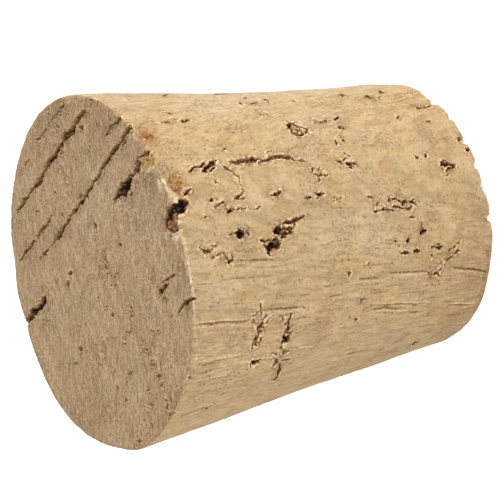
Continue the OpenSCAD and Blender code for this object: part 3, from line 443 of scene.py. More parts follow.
SIDE_SCARS = [
    # the floor of the round pore, and the lump in the torn mouth
    [[15, 24.2, 0.3], [16.4, 24, 0.4], [17.8, 24.3, 0.3]],
    [[-9.6, 45.4, 1.2], [-9.7, 44.8, 0.8], [-9.2, 44.3, 0.5]],
    # the long crack, which is shallow and stays lit
    [[5.5, 35.5, 0.45], [5.3, 35, 0.75], [5.6, 34, 0.85], [5.4, 33, 0.85], [5.6, 32.3, 0.6],
     [5.9, 31.7, 0.2]],
    [[4.2, 31.9, 0.12], [4.7, 31.3, 0.42], [5.1, 30.6, 0.6], [5.7, 29.8, 0.7], [6, 29, 0.7],
     [5.6, 28.4, 0.6], [5, 27.8, 0.42], [4.7, 27.3, 0.3], [4, 27.1, 0.2], [3.6, 26.6, 0.35], [3.2, 26, 0.3],
     [3, 25.6, 0.12]],
    # a speckled line across to it
    [[-4.8, 35.5, 0.2], [-4.2, 35.5, 0.25]],
    [[-3, 35.45, 0.15], [-2, 35.5, 0.28], [-1.2, 35.45, 0.15]],
    [[-0.4, 35.4, 0.2], [0.6, 35.5, 0.3], [1.2, 35.6, 0.15]],
    [[1.8, 35.8, 0.2], [3, 36.2, 0.28], [3.9, 36.7, 0.15]],
    # hairlines
    [[-22, 42.2, 0.15], [-21.2, 42, 0.15], [-20.6, 41.6, 0.12], [-20.9, 41.3, 0.1], [-20.7, 41, 0.1]],
    [[-22.3, 41.7, 0.12], [-23.2, 41.8, 0.15], [-24, 41.6, 0.18], [-23.8, 41.3, 0.12], [-23.4, 40.7, 0.15],
     [-23.2, 40.3, 0.12], [-23.4, 40.1, 0.1]],
    [[-20.6, 43.1, 0.1], [-21.3, 42.7, 0.15]],
    [[-25.6, 39.6, 0.1], [-24.9, 39.8, 0.18], [-24.3, 39.95, 0.1]],
    [[-25.4, 39.2, 0.12], [-24.8, 39.1, 0.12], [-24.1, 39.1, 0.12], [-23.8, 39, 0.18]],
    [[-18.1, 39.1, 0.1], [-18, 38.4, 0.15]],
    [[-17.6, 37, 0.15], [-17.2, 36.85, 0.12], [-18, 36.6, 0.15], [-18.7, 36.4, 0.22], [-18.9, 36.3, 0.1]],
    [[-10.6, 38.3, 0.12], [-9.9, 38.4, 0.12], [-9.1, 38.5, 0.18], [-8.8, 38.35, 0.12], [-8, 38.6, 0.12],
     [-8.1, 39, 0.15], [-8.5, 39.4, 0.12], [-8.9, 39.8, 0.1]],
    [[-10.5, 37, 0.18], [-10.3, 36.8, 0.15]],
    [[-10.4, 36.5, 0.18], [-10.2, 36.3, 0.18], [-10.9, 36.3, 0.15], [-10.6, 35.9, 0.15]],
    [[-7.4, 36.6, 0.12], [-7.6, 36.1, 0.18], [-7.8, 35.8, 0.1]],
    [[-6.3, 35.9, 0.12], [-5.3, 35.6, 0.12], [-4.6, 35.4, 0.15]],
    [[-21.6, 35.1, 0.22], [-22.1, 34.7, 0.18], [-22.5, 34.5, 0.1]],
    [[-23.1, 34.7, 0.22], [-24, 34.4, 0.15]],
    [[-22, 34.4, 0.12], [-22.1, 33.6, 0.1]],
    [[-1.3, 38.7, 0.15], [-1, 38.5, 0.15], [-1.5, 38.3, 0.12]],
    [[10.7, 35.4, 0.28], [11, 35.2, 0.15]],
    [[25.7, 42, 0.12], [26, 41.7, 0.15]],
    [[24.6, 40.8, 0.12], [24.9, 40.3, 0.2], [24.9, 39.9, 0.38], [25.6, 39.85, 0.12]],
    [[26.5, 39.2, 0.15], [26.7, 38.7, 0.22], [26.2, 38.55, 0.22]],
    [[20.5, 46, 0.15], [21.8, 45.6, 0.15], [22.3, 45.3, 0.12], [22.9, 45, 0.15]],
    [[24, 45.3, 0.3], [24.6, 44.6, 0.25]],
    [[-11, 26, 0.12], [-10.9, 25.9, 0.18]],
    [[-1.2, 24.1, 0.12], [-1.5, 23.7, 0.1]],
    [[-12.9, 23.4, 0.2], [-12, 23.1, 0.15]],
    [[-12, 22.7, 0.15], [-11.6, 22.4, 0.12]],
    [[27.6, 27.15, 0.2], [27.1, 27.1, 0.35], [26.6, 26.95, 0.2]],
    [[26.6, 26.5, 0.2], [26.2, 26.4, 0.35]],
    [[7.8, 30.1, 0.12], [8.6, 29.8, 0.15], [8.3, 29.4, 0.1]],
    [[14.4, 22.9, 0.15], [14.6, 22.8, 0.22]],
    [[1.8, 21.3, 0.1], [1.4, 21, 0.15], [0.9, 20.7, 0.32]],
    [[1.7, 20.3, 0.12], [2.3, 20, 0.2], [2.7, 19.7, 0.12]],
    [[3, 19.1, 0.15], [3.8, 19.3, 0.15], [4.9, 19.6, 0.12]],
    [[10, 18.9, 0.2], [10.4, 18.6, 0.12]],
    [[21.3, 20.7, 0.4], [22, 20.4, 0.3]],
    [[-54.9, 35.75, 0.15], [-54.3, 35.7, 0.32], [-53.4, 35.6, 0.3]],
    [[-50.4, 35.7, 0.4], [-49.8, 35.5, 0.5], [-49.3, 35.6, 0.3]],
    [[-48.1, 35.2, 0.25], [-47.3, 34.9, 0.2], [-46.7, 34.6, 0.2]],
    [[-47, 36.9, 0.12], [-46, 37, 0.15], [-45.4, 37, 0.12]],
    [[-44.6, 36.8, 0.15], [-44, 37.1, 0.12]],
    [[-44.2, 36.6, 0.15], [-43.6, 36.4, 0.22]],
    [[-44.9, 35.9, 0.12], [-43.8, 35.85, 0.2], [-43.2, 36, 0.12], [-42.4, 36.1, 0.2], [-41.8, 36, 0.15],
     [-41, 35.9, 0.12]],
    [[-59.6, 36.3, 0.15], [-59.5, 36.15, 0.25]],
    [[-66.6, 31.7, 0.12], [-66, 32.1, 0.15], [-65.7, 32.4, 0.2]],
    [[-62.6, 33.1, 0.22], [-62.9, 32.9, 0.15]],
    [[-60.3, 33.4, 0.15], [-61.2, 32.9, 0.12]],
    [[-55.2, 32, 0.2], [-55, 31.5, 0.25], [-54.9, 31.3, 0.12]],
    [[-54.6, 31.9, 0.2], [-54.3, 31.3, 0.22], [-54.2, 31.1, 0.12]],
    [[-53.7, 31.9, 0.22], [-53.6, 31.5, 0.25], [-53.7, 31.2, 0.15]],
    [[-49.9, 32.5, 0.25], [-50, 32.3, 0.15]],
    [[-47.6, 33, 0.2], [-47.3, 32.7, 0.28]],
    [[-46.8, 32.5, 0.15], [-46.6, 32.4, 0.15]],
    [[-60.5, 31.9, 0.15], [-61.3, 31.9, 0.12]],
    [[-60.1, 44.9, 0.2], [-60.5, 44.4, 0.22]],
    [[-43.8, 42.6, 0.1], [-43.6, 42.2, 0.12]],
    [[-78.8, 40.2, 0.25], [-78.2, 40, 0.35], [-78, 39.7, 0.2]],
    [[-36.2, 9.7, 0.15], [-35.5, 9.8, 0.15], [-34.9, 9.5, 0.2], [-35.2, 9.1, 0.15]],
    [[-18.8, 17.9, 0.1], [-18.6, 17.1, 0.12]],
    [[-18.1, 16.9, 0.12], [-17.9, 16.9, 0.12]],
    [[-18.1, 13.9, 0.3], [-17.4, 13.9, 0.38], [-16.9, 13.6, 0.38], [-16.5, 13.45, 0.2]],
    [[-15.3, 15.4, 0.15], [-15.8, 14.8, 0.25], [-16.5, 14.3, 0.15]],
    [[-14.8, 18.2, 0.15], [-14, 18.1, 0.12], [-13.3, 18.5, 0.15], [-13, 18.8, 0.1]],
    [[-41.5, 7.6, 0.22], [-40.8, 7.1, 0.15]],
    [[-36.9, 6.1, 0.15], [-36.4, 5.8, 0.28], [-35.6, 5.5, 0.12]],
    [[-43, 8.6, 0.12], [-42.2, 8.6, 0.18], [-41.4, 8.2, 0.18]],
    [[-38.8, 10.5, 0.3], [-38.2, 10.4, 0.25]],
    [[-40.6, 10.7, 0.25], [-40.3, 10.6, 0.2]],
    [[-46, 10.9, 0.2], [-45.3, 10.8, 0.3]],
    [[-9.8, 5.9, 0.12], [-9.3, 5.6, 0.15]],
    [[-32.4, 15.5, 0.22], [-32.2, 15.5, 0.22]],
    [[-30.5, 16.1, 0.18], [-30.3, 16.1, 0.18]],
    [[-36.4, 20.5, 0.18], [-36.2, 20.5, 0.18]],
    [[-38.9, 20.45, 0.18], [-38.7, 20.3, 0.12]],
    [[-31.2, 14.3, 0.3], [-30.8, 14.2, 0.3]],
    [[16.4, 4.3, 0.2], [16.6, 3.7, 0.28]],
    [[19.5, 8.4, 0.3], [20.3, 8, 0.25]],
    [[34.4, 26.9, 0.3], [34.9, 26.4, 0.4], [35.2, 26, 0.2]],
    [[34.5, 28.3, 0.35], [34.9, 28.1, 0.3]],
    [[35, 20.7, 0.35], [35.4, 20.4, 0.3]],
    [[37.2, 12.9, 0.3], [38, 12.6, 0.5], [38.8, 12.2, 0.2]],
    [[35.2, 2.4, 0.2], [36, 2.1, 0.4], [36.8, 1.6, 0.2]],
    [[33.6, 8, 0.2], [34.6, 7.7, 0.25], [35.2, 7.2, 0.15]],
    [[35.5, 24.1, 0.2], [34.9, 24.1, 0.3]],
    [[46.2, 36.1, 0.3], [46.9, 35.7, 0.5], [47.6, 35.4, 0.2]],
    [[39.2, 26.7, 0.2], [40.2, 26.4, 0.3]],
]

# Growth lines down the side: angle, height, and how far the line stands out, or is sunk if that is negative
GROWTH_LINES = [
    [[-26.2, 38.7, -0.06], [-26.9, 37.5, -0.1], [-27.2, 36.5, -0.1], [-27.6, 35.3, -0.12],
     [-28.2, 34, -0.1], [-28.8, 33, -0.04]],
    [[-31, 41, -0.04], [-31.6, 39, -0.08], [-32.3, 37, -0.08], [-33, 35, -0.06], [-33.3, 33.5, -0.03]],
    [[-29.3, 37, -0.03], [-29.9, 35.5, -0.07], [-30.5, 33.8, -0.07], [-31.5, 32, -0.03]],
    [[-31, 44, -0.05], [-31.5, 42.7, -0.07], [-31.8, 42, -0.02]],
    [[-23.6, 44.7, -0.05], [-23.5, 44, -0.07], [-23.8, 43, -0.04]],
    [[-26.9, 27, -0.03], [-26.7, 25.8, -0.08], [-26.3, 25.2, -0.08], [-26.5, 24.2, -0.07],
     [-26.6, 23, -0.07], [-26.8, 22, -0.03]],
    [[-29.2, 33.5, -0.04], [-29.2, 32, -0.07], [-29, 31.5, -0.03]],
    [[-15.3, 23.4, -0.08], [-15.6, 22.8, -0.08], [-16, 22.3, -0.07], [-16.2, 21.5, -0.03]],
    # the long straight ones
    [[-41, 21.8, -0.08], [-41.6, 20.5, -0.14], [-42, 19.5, -0.14], [-42.6, 18.5, -0.05]],
    [[-41.5, 17.2, -0.08], [-42, 16, -0.15], [-42.6, 15, -0.17], [-43, 14, -0.17], [-43.6, 13, -0.17],
     [-44, 12, -0.15], [-44.5, 11, -0.12], [-45, 10.5, -0.05]],
    [[-45, 7.3, -0.06], [-46.2, 6.3, -0.15], [-47.4, 5, -0.2], [-48.2, 4, -0.22], [-49, 3, -0.22],
     [-50.2, 2, -0.22], [-51.2, 1.2, -0.2], [-52, 0.5, -0.12]],
    [[-43.3, 35.9, -0.06], [-43.4, 35.5, -0.13], [-43.8, 34.5, -0.15], [-44.2, 33.3, -0.13],
     [-44.6, 32.8, -0.16], [-45, 32, -0.16], [-45.4, 31, -0.15], [-45.7, 30.2, -0.1], [-46.2, 29.8, -0.08],
     [-47, 29.4, -0.08], [-47.5, 29.1, -0.04]],
    # the edge of the rough cork beside them
    [[-42.6, 44.6, -0.06], [-43, 43.4, -0.15], [-43.5, 42.4, -0.12], [-43.7, 41.5, -0.15],
     [-44, 40.6, -0.1], [-44.7, 39.8, -0.12], [-45.1, 39, -0.14], [-45.6, 38, -0.12], [-45.2, 37.2, -0.05]],
    [[-42, 44.4, 0.08], [-42.6, 42.8, 0.1], [-43.1, 41.2, 0.1], [-44, 39.8, 0.1], [-44.8, 38.2, 0.08],
     [-44.4, 37.4, 0.1]],
    [[-44.6, 26.3, -0.05], [-44.8, 25, -0.12], [-45.1, 24, -0.06]],
    [[-43.2, 26, 0.04], [-43.7, 25, 0.08], [-44.4, 24, 0.04]],
    [[-41.6, 30.5, -0.05], [-41.8, 29.8, -0.1], [-42, 29.3, -0.05]],
    [[-40.4, 27.3, -0.05], [-40.9, 26.5, -0.1], [-41, 26, -0.04]],
    [[-49.2, 31.2, -0.04], [-49.6, 30.2, -0.09], [-50, 29, -0.08], [-50.4, 28.5, -0.03]],
    [[-47.9, 31, 0.05], [-48.3, 29.8, 0.08], [-48.6, 28.4, 0.06], [-48.9, 27.4, 0.03]],
    # broad ridges with a groove beside each
    [[-55, 19, 0.05], [-55.4, 18.3, 0.12], [-55.8, 17.5, 0.16], [-57, 16, 0.12], [-58, 15, 0.12],
     [-58.6, 14, 0.12], [-59, 13.3, 0.05]],
    [[-54.4, 20.5, -0.05], [-54.5, 18.6, -0.12], [-54.9, 17, -0.14], [-56, 16.3, -0.14], [-57, 15, -0.1],
     [-57.8, 13.5, -0.05]],
    [[-51.5, 19.5, 0.05], [-52.3, 18.2, 0.1], [-53.3, 17, 0.1], [-53.8, 16, 0.1], [-54.3, 15, 0.12],
     [-55.2, 14, 0.12], [-55.8, 13, 0.12], [-56.8, 12, 0.12], [-57, 11, 0.1], [-58, 10, 0.1],
     [-59, 9, 0.05]],
    [[-53.2, 18.6, -0.06], [-54, 17, -0.1], [-54.7, 15.9, -0.12], [-55.2, 14.8, -0.12], [-56, 13.9, -0.1],
     [-56.8, 12.9, -0.1], [-58.4, 11.7, -0.08]],
    [[-49.5, 19.5, 0.03], [-50.5, 18, 0.08], [-51.2, 17, 0.08], [-52, 16, 0.08], [-52.6, 15.3, 0.04]],
    [[-52.9, 19.6, -0.08], [-52.6, 19, -0.1], [-52.4, 18.8, -0.05]],
    [[-60.3, 13.2, -0.06], [-61, 12.2, -0.12], [-61.3, 11.6, -0.12], [-62.2, 10.6, -0.05]],
    [[-60.2, 7.5, -0.05], [-60.9, 6.4, -0.1], [-62.2, 5.3, -0.06]],
    [[-61.3, 6.7, 0.06], [-62.2, 5.4, 0.14], [-63.6, 4, 0.12], [-64.8, 2.6, 0.12], [-65.8, 1.2, 0.1]],
    [[-62.6, 6.4, -0.04], [-63.9, 4.6, -0.1], [-64.8, 3.8, -0.12], [-66, 2.4, -0.08], [-66.6, 1.4, -0.04]],
    [[-50.8, 3.2, 0.05], [-52, 2.2, 0.1], [-53.4, 1, 0.1]],
    [[-54.5, 44.8, 0.06], [-55.5, 43, 0.1], [-56, 41, 0.1], [-56.5, 39.5, 0.12], [-57, 38, 0.08],
     [-57.5, 36.8, 0.04]],
    [[-53.4, 44.8, 0.08], [-54, 43.6, 0.12], [-54.4, 43, 0.08], [-54.8, 42.4, 0.03]],
    [[-59.5, 42, 0.04], [-59.9, 40, 0.08], [-60.3, 38, 0.08], [-60.8, 36.9, 0.06], [-61.4, 36.5, 0.08]],
    [[-60, 43.4, -0.06], [-60.1, 42, -0.1], [-60.1, 40.4, -0.1], [-60.6, 38.6, -0.05]],
    [[-56.4, 44.4, -0.04], [-57, 42.6, -0.08], [-57.3, 41, -0.08], [-57.8, 39.4, -0.04]],
    [[-62.8, 44, 0.04], [-63, 42, 0.08], [-63.8, 40, 0.08], [-64.8, 38.5, 0.06], [-66.4, 36.4, 0.03]],
    [[-61.6, 34.2, 0.05], [-62.6, 33, 0.05]],
    [[-61.4, 30.2, 0.05], [-61.8, 29, 0.1], [-62.6, 27.4, 0.06]],
    [[-78.9, 43.6, -0.08], [-78.8, 42, -0.1], [-78.4, 40.4, -0.12], [-78.7, 39.2, -0.06]],
    [[-68.6, 30.4, -0.05], [-67.9, 29.9, -0.1], [-66.6, 29.5, -0.08], [-65.4, 29.3, -0.04]],
    [[-73, 22.4, -0.04], [-73.6, 20.6, -0.1], [-74, 19, -0.1], [-74.6, 17.6, -0.04]],
    # faint ones low on the side
    [[-36.5, 22, -0.03], [-37.4, 19, -0.06], [-38.2, 16.5, -0.05], [-39, 14.5, -0.02]],
    [[-33, 9, -0.02], [-34.5, 6, -0.05], [-36, 3.5, -0.05], [-37, 2, -0.02]],
    [[-47.2, 21, -0.03], [-48, 18.6, -0.07], [-48.8, 16.5, -0.05], [-49.6, 14.6, -0.02]],
    [[-45.6, 19.6, -0.03], [-46.4, 17.2, -0.07], [-47.2, 15, -0.05], [-48.2, 12.6, -0.02]],
    [[-50, 17, -0.03], [-51, 14.8, -0.07], [-52.2, 12, -0.07], [-53.2, 9.6, -0.03]],
    [[-70.5, 9.6, -0.02], [-72.2, 7, -0.06], [-73.5, 4.6, -0.05], [-74.5, 2.6, -0.02]],
    [[-66.4, 9, -0.03], [-68, 6.2, -0.08], [-69.6, 3.6, -0.08], [-70.6, 1.4, -0.03]],
    [[-38, 43.6, -0.03], [-38.8, 40.8, -0.06], [-39.6, 38.2, -0.06], [-40.3, 36.4, -0.02]],
    [[-35.4, 33.6, -0.03], [-36.4, 30.6, -0.06], [-37.2, 28, -0.05], [-37.8, 26, -0.02]],
    [[-47.4, 27.4, -0.02], [-48.2, 25, -0.05], [-49, 22.8, -0.03]],
    [[-69, 44.4, -0.02], [-70, 41, -0.05], [-71.4, 37, -0.05], [-72.6, 34, -0.02]],
]

# Shallow hollows torn out of the side: angle, height, half the run round, half the run up, and depth
HOLLOWS = [
    [19.5, 44.1, 1.4, 1.1, 0.4], [0, 43.7, 1.8, 1.1, 0.22], [9.4, 45.3, 0.9, 0.9, 0.8],
    [-20.9, 44, 0.8, 0.6, 0.1],
]

# Height of the crumbled edge round the narrow end: angle and height. Beyond them chance says
NARROW_RIM = [
    [-100, 0.05], [-44, 0.05], [-38, 0.1], [-33, 0.35], [-31, 0.45], [-30.3, 0.8], [-29.3, 1], [-28.2, 0.9],
    [-27.7, 0.55], [-25, 0.5], [-20, 0.5], [-18, 0.85], [-17.2, 0.95], [-16.6, 0.7], [-15.8, 1.1],
    [-15, 0.9], [-14, 0.6], [-12.5, 0.55], [-10, 0.7], [-9, 0.65], [-7.8, 1.25], [-7, 0.9], [-5.5, 0.55],
    [-4, 0.3], [-3, 0.1], [2.6, 0.2], [3.1, 0.5], [3.8, 1.1], [5, 0.8], [6.5, 0.35], [8, 0.1], [10, 0],
    [15.3, 0], [15.8, 0.7], [16.3, 1.05], [17.2, 0.85], [19, 0.4], [21, 0.1], [26.2, 0.05], [26.7, 1.35],
    [28, 1.2], [30, 0.75], [33, 0.6], [38, 0.4], [44, 0.2], [60, 0.1],
]

# Where the side is stained, and where pale spots paint highlights on the lips of cuts and along the wide
# rim: angle, height, half the run round in degrees, half the run up, tone and strength
SIDE_STAINS_AND_HIGHLIGHTS = [
    # The chalk spot at 50 degrees pales and greys the side that faces the key lamp: a painted sheen
    [50, 24, 14, 26, "chalk_and_sheen", 0.4], [-68, 22, 20, 40, "umber", 0.08], [-42, 26, 12, 30, "umber", 0.1],
    [-36, 43.5, 8, 3, "umber", 0.12], [-24, 22, 9, 6, "pale_and_highlight", 0.12], [-48, 4, 26, 7, "umber", 0.1],
    [16, 39, 14, 9, "rust", 0.07], [12, 4, 16, 6, "amber", 0.12], [-21, 32.3, 0.9, 0.35, "pale_and_highlight", 0.9],
    [-60, 1.5, 40, 4, "umber", 0.08], [-30, 44.8, 16, 0.3, "pale_and_highlight", 0.4],
    [-60, 44.8, 16, 0.35, "amber", 0.4], [30, 44.8, 7, 0.3, "amber", 0.3],
    [-0.4, 43.5, 5.2, 1.5, "amber", 0.95], [19.3, 43.9, 4.6, 1.6, "amber", 0.95],
    [10.4, 45.2, 3.4, 1.1, "gold", 0.95], [-1.5, 43.3, 2.2, 0.7, "rust", 0.6],
    [19.8, 43.6, 2.2, 0.6, "rust", 0.6], [0.6, 44.9, 1.6, 0.4, "pale_and_highlight", 0.8],
    [-1.2, 44.7, 1.4, 0.35, "pale_and_highlight", 0.9], [-3.2, 44.4, 1.4, 0.4, "pale_and_highlight", 0.9],
    [-5.2, 44.1, 1.4, 0.4, "pale_and_highlight", 0.9], [-5.9, 43.7, 0.8, 0.4, "pale_and_highlight", 0.8],
    [-6.6, 42.6, 0.8, 0.35, "pale_and_highlight", 0.8], [-8.6, 43.5, 1, 0.35, "pale_and_highlight", 0.9],
    [-10.3, 44.3, 0.9, 0.5, "pale_and_highlight", 0.9], [-12, 44.9, 0.9, 0.4, "pale_and_highlight", 0.8],
    [-9.6, 45.2, 1.8, 0.9, "umber", 0.6], [17.2, 24, 3, 0.95, "rust", 0.95],
    [17.8, 24.1, 1.7, 0.5, "rose", 0.7], [6, 44.3, 3, 1.2, "slate", 0.4],
    [14.5, 44.6, 2.6, 0.8, "slate", 0.3], [-25.6, 40.7, 1.4, 0.7, "olive", 0.45],
    [-4.7, 42, 3.6, 0.9, "ash", 0.5], [-10.7, 39.7, 1.8, 1.1, "rose", 0.4],
    [-17.2, 21.6, 2, 2.2, "ash", 0.3], [-36, 6.1, 4.5, 1.5, "rust", 0.3],
    [-82.8, 8.6, 3, 0.8, "umber", 0.6], [-46.6, 10.5, 2.4, 0.5, "umber", 0.5],
    [-58, 42, 2.6, 1.9, "olive", 0.35], [-89, 35.3, 3, 0.7, "rust", 0.35],
    [-88, 31.7, 2, 0.5, "umber", 0.3], [-83, 11.7, 2.4, 0.6, "olive", 0.5],
    [-84.5, 12.8, 2, 0.5, "rose", 0.4], [-75, 12.4, 2, 1.2, "olive", 0.4],
    [-72.5, 11.5, 2, 0.6, "rust", 0.3], [-50.5, 39.8, 3.5, 2.6, "rose", 0.2], [-55, 27, 7, 2, "rose", 0.2],
    [-46.5, 30, 2, 2, "pale_and_highlight", 0.25], [-61, 20, 3.5, 1.4, "rose", 0.25], [-60, 25.8, 5, 1.3, "ash", 0.2],
    [-49, 7.5, 4.5, 2.2, "rose", 0.25], [-44, 10.6, 3, 0.5, "rust", 0.3],
    [-18.5, 32.6, 3.6, 1.8, "rust", 0.25], [-24.2, 33.6, 3.2, 1.1, "rust", 0.25],
    [-18.4, 37.4, 2, 0.9, "rust", 0.25], [5.4, 31, 2, 4.6, "rust", 0.18], [17.3, 24, 3.6, 1.4, "rust", 0.2],
    [-6.2, 5, 2.4, 1.3, "rust", 0.6], [-17.6, 13.2, 3, 1.6, "rust", 0.2],
    [-29, 11.6, 2.2, 0.9, "rust", 0.25], [-51, 36, 5, 0.8, "rust", 0.25], [-70, 31.7, 6, 0.8, "rust", 0.35],
    [-53.5, 31.7, 5, 0.7, "rust", 0.35], [-62.5, 35.6, 2, 0.8, "rust", 0.25],
    [-64.4, 35.6, 1.2, 0.4, "pale_and_highlight", 0.6], [-58.5, 31.9, 1.2, 0.4, "pale_and_highlight", 0.6],
    [-65, 32.9, 2, 0.3, "pale_and_highlight", 0.4], [27.5, 27.2, 2, 0.7, "olive", 0.5],
    [9.4, 19.4, 1.2, 0.4, "olive", 0.5], [38, 12.6, 2, 0.7, "olive", 0.6], [36, 1.4, 4, 1, "ochre", 0.4],
    [31, 4, 7, 2.5, "ochre", 0.3], [25, 3.4, 2.2, 1.6, "umber", 0.2], [-60, 6, 20, 5, "rust", 0.08],
    [-25, 4, 16, 3.5, "rust", 0.08], [34.5, 9, 3, 1, "umber", 0.4], [39.5, 6, 2.4, 0.8, "rust", 0.5],
    [44, 17.8, 3, 0.8, "ochre", 0.35], [45, 36.5, 3.5, 1.5, "ochre", 0.25], [48, 28, 3, 1.2, "umber", 0.35],
    [34.8, 27, 1.4, 1.4, "olive", 0.5], [28, 13.1, 1.2, 0.5, "olive", 0.35],
    [29.4, 15.5, 1.2, 0.5, "olive", 0.4], [16.6, 4, 1.2, 0.8, "olive", 0.4],
    [19.3, 4.2, 1.2, 0.4, "olive", 0.3], [8.3, 0.8, 1.4, 0.5, "ochre", 0.5], [-30, 19, 5, 4, "pale_and_highlight", 0.15],
    [-34, 41, 5, 4, "pale_and_highlight", 0.15], [30, 33, 8, 6, "pale_and_highlight", 0.15], [-22, 2, 14, 1.2, "ash", 0.3],
    [-60, 0.5, 14, 0.8, "umber", 0.25], [-50, 0.8, 8, 0.8, "olive", 0.25],
]

# The same on the wide end, with both half runs in millimetres. Its small pale spots on the lower lips of
# cuts are painted highlights
WIDE_STAINS_AND_HIGHLIGHTS = [
    [13.5, 11.5, 4.5, 3, "umber", 0.17], [6.2, 4.2, 4.5, 3, "pale_and_highlight", 0.09], [13, 1, 3, 3.5, "chalk_and_sheen", 0.16],
    [-13, -11.5, 6, 4, "umber", 0.16], [17, 3, 3, 6, "umber", 0.12], [4, 17.5, 8, 3, "umber", 0.12],
    [18.9, 3.95, 1.5, 0.8, "gold", 0.95], [18.9, -3.5, 1.2, 0.8, "umber", 0.6],
    [-9.7, 14.3, 1.4, 0.5, "umber", 0.3], [19.4, 2.7, 1.3, 0.25, "pale_and_highlight", 0.7],
    [17.6, 3.4, 1.2, 0.2, "pale_and_highlight", 0.8], [18.5, 1.2, 1.2, 0.6, "slate", 0.3],
    [18.6, 6.7, 0.5, 0.7, "pale_and_highlight", 0.5], [19.2, 0.4, 0.5, 0.8, "pale_and_highlight", 0.6],
    [18.3, -5.2, 1, 0.4, "pale_and_highlight", 0.7], [-3.8, 14, 2, 0.5, "rust", 0.4], [-4.2, 7.1, 1.8, 0.6, "rust", 0.5],
    [3.6, 14, 0.8, 0.5, "rose", 0.8], [-3.6, 13.5, 1.8, 0.25, "pale_and_highlight", 0.4],
    [-17.3, 3.2, 1.2, 0.4, "rust", 0.4], [-18.2, 2.6, 0.7, 0.3, "rose", 0.7],
    [-9, 7.2, 1.6, 0.3, "umber", 0.25], [6.4, 18, 1.6, 0.4, "rose", 0.4], [7, 18.4, 1.2, 0.5, "olive", 0.5],
    [1.4, 19.2, 1.4, 0.5, "olive", 0.5], [-17.7, -8.1, 0.7, 0.5, "ochre", 0.5],
    [-15.7, -11.5, 0.6, 0.4, "rust", 0.5], [-16.4, -10, 0.7, 0.4, "umber", 0.3],
    [-18, -1.1, 1, 0.5, "ochre", 0.3], [-18.4, -3.3, 0.5, 0.4, "ochre", 0.4],
    [-17.5, 4.6, 0.8, 0.5, "ochre", 0.35], [-15.6, 4.2, 1, 0.3, "ochre", 0.3],
    [8, -9, 2.4, 1.5, "ash", 0.3], [15, -9.3, 2.6, 0.8, "ash", 0.35], [2.8, 4.6, 1.2, 0.7, "ash", 0.35],
    [13, 0, 4, 3, "ash", 0.2], [-12.6, -13.2, 1.2, 0.6, "olive", 0.35],
    [-14.8, -11, 1.2, 0.6, "olive", 0.3], [-10.5, -15.3, 1.6, 0.8, "ochre", 0.2],
    [17, 11.3, 1.6, 1.2, "umber", 0.2], [13.9, 13.6, 1, 0.4, "ochre", 0.35],
    [15.5, -12, 2, 0.5, "umber", 0.25], [0, -19, 5, 0.8, "ochre", 0.25], [6, -18.4, 3, 0.8, "ochre", 0.3],
    [4.6, -14, 1, 6, "umber", 0.12], [3.8, -1, 0.8, 4, "umber", 0.12], [-6, 16.7, 1, 0.6, "rose", 0.25],
    [-10, 16, 0.8, 0.5, "rose", 0.4], [-6.7, 17.2, 0.8, 0.5, "ochre", 0.35],
    [-4, 16.9, 0.8, 0.5, "ochre", 0.35], [18.4, -5.2, 1, 0.5, "pale_and_highlight", 0.4], [9.3, 8.2, 3, 0.5, "pale_and_highlight", 0.2],
    [12.8, 3, 2.4, 0.25, "pale_and_highlight", 0.45], [16.6, 3.5, 1.6, 0.2, "pale_and_highlight", 0.45],
    [17.3, -4.2, 1.2, 0.35, "pale_and_highlight", 0.5], [-14.5, 2.4, 2, 0.25, "pale_and_highlight", 0.35],
]

# ---------------------------------------------------------------- marks that the bark's own rule lays

# Pores on the back, as the plain solid has them: how many and between which angles, and each one's width,
# half its run up and how far it leans
BACK_PORES = 22
BACK_ANGLES = (122, 238)
BACK_WIDE, BACK_HALF, BACK_LEAN = (0.3, 1.2), (0.3, 1.3), (-2, 2)
# Cracks across the side where the channels lie along it: how many between each two angles, and each one's
# width and half its run round
CROSS_CRACKS = 5
CROSS_ANGLES = [(70, 110), (233, 252)]
CROSS_WIDE, CROSS_HALF = (0.2, 0.7), (4, 11)
# Heights between which both lie, as shares of the length
MARK_HEIGHTS = (0.08, 0.92)
# Channels across the narrow end: how many, and within which share of its half width. Where each starts, as
# a share of its reach, its run and its width
NARROW_CHANNELS = 8
CHANNELS_WITHIN = 0.9
CHANNEL_START, CHANNEL_RUN, CHANNEL_WIDE = (-0.9, 0.2), (3, 13), (0.3, 0.9)
# Width of a crack and a channel at the two tips
TIP, TAIL = 0.12, 0.1
# The first seed of each
BACK_SEED, CROSS_SEED, CHANNEL_SEED = 300, 400, 500

# ---------------------------------------------------------------- chance, and the ground outline

TABLE = np.random.default_rng(11).random((48, 48, 48))
ASKEW = np.array(Matrix.Rotation(0.7, 3, Vector((1, 2, 3)).normalized()))
# How far apart the seeds lie in the table
SEED_STEP = 13.7


def rough(places, size, seed=0):
    """Smooth random heights from -1 to 1 that change over `size` millimetres."""
    at = places @ ASKEW / size + SEED_STEP * seed
    cell = np.floor(at).astype(int)
    part = at - cell
    ease = part * part * (3 - 2 * part)
    total = np.zeros(len(at))
    for corner in itertools.product((0, 1), repeat=3):
        share = np.prod(np.where(corner, ease, 1 - ease), axis=1)
        i, j, k = ((cell + corner) % len(TABLE)).T
        total += share * TABLE[i, j, k]
    return total * 2 - 1


def mixed(places, noises, level=0.0):
    """A level with noises laid over it one by one."""
    return sum((height * rough(places, size, seed) for height, size, seed in noises), level)


def pick(seed, k):
    """A share from 0 to 1 that is always the same for a seed and a count: the last digits of a sine."""
    value = math.sin(math.radians(seed * 78.233 + k * 37.719)) * 43758.5453
    return value - math.floor(value)


def between(span, share):
    """The value at a share of the way through a span."""
    return span[0] + (span[1] - span[0]) * share


def step(start, end, value):
    """0 up to start, 1 past end, and smooth between."""
    share = np.clip((value - start) / (end - start), 0, 1)
    return share * share * (3 - 2 * share)


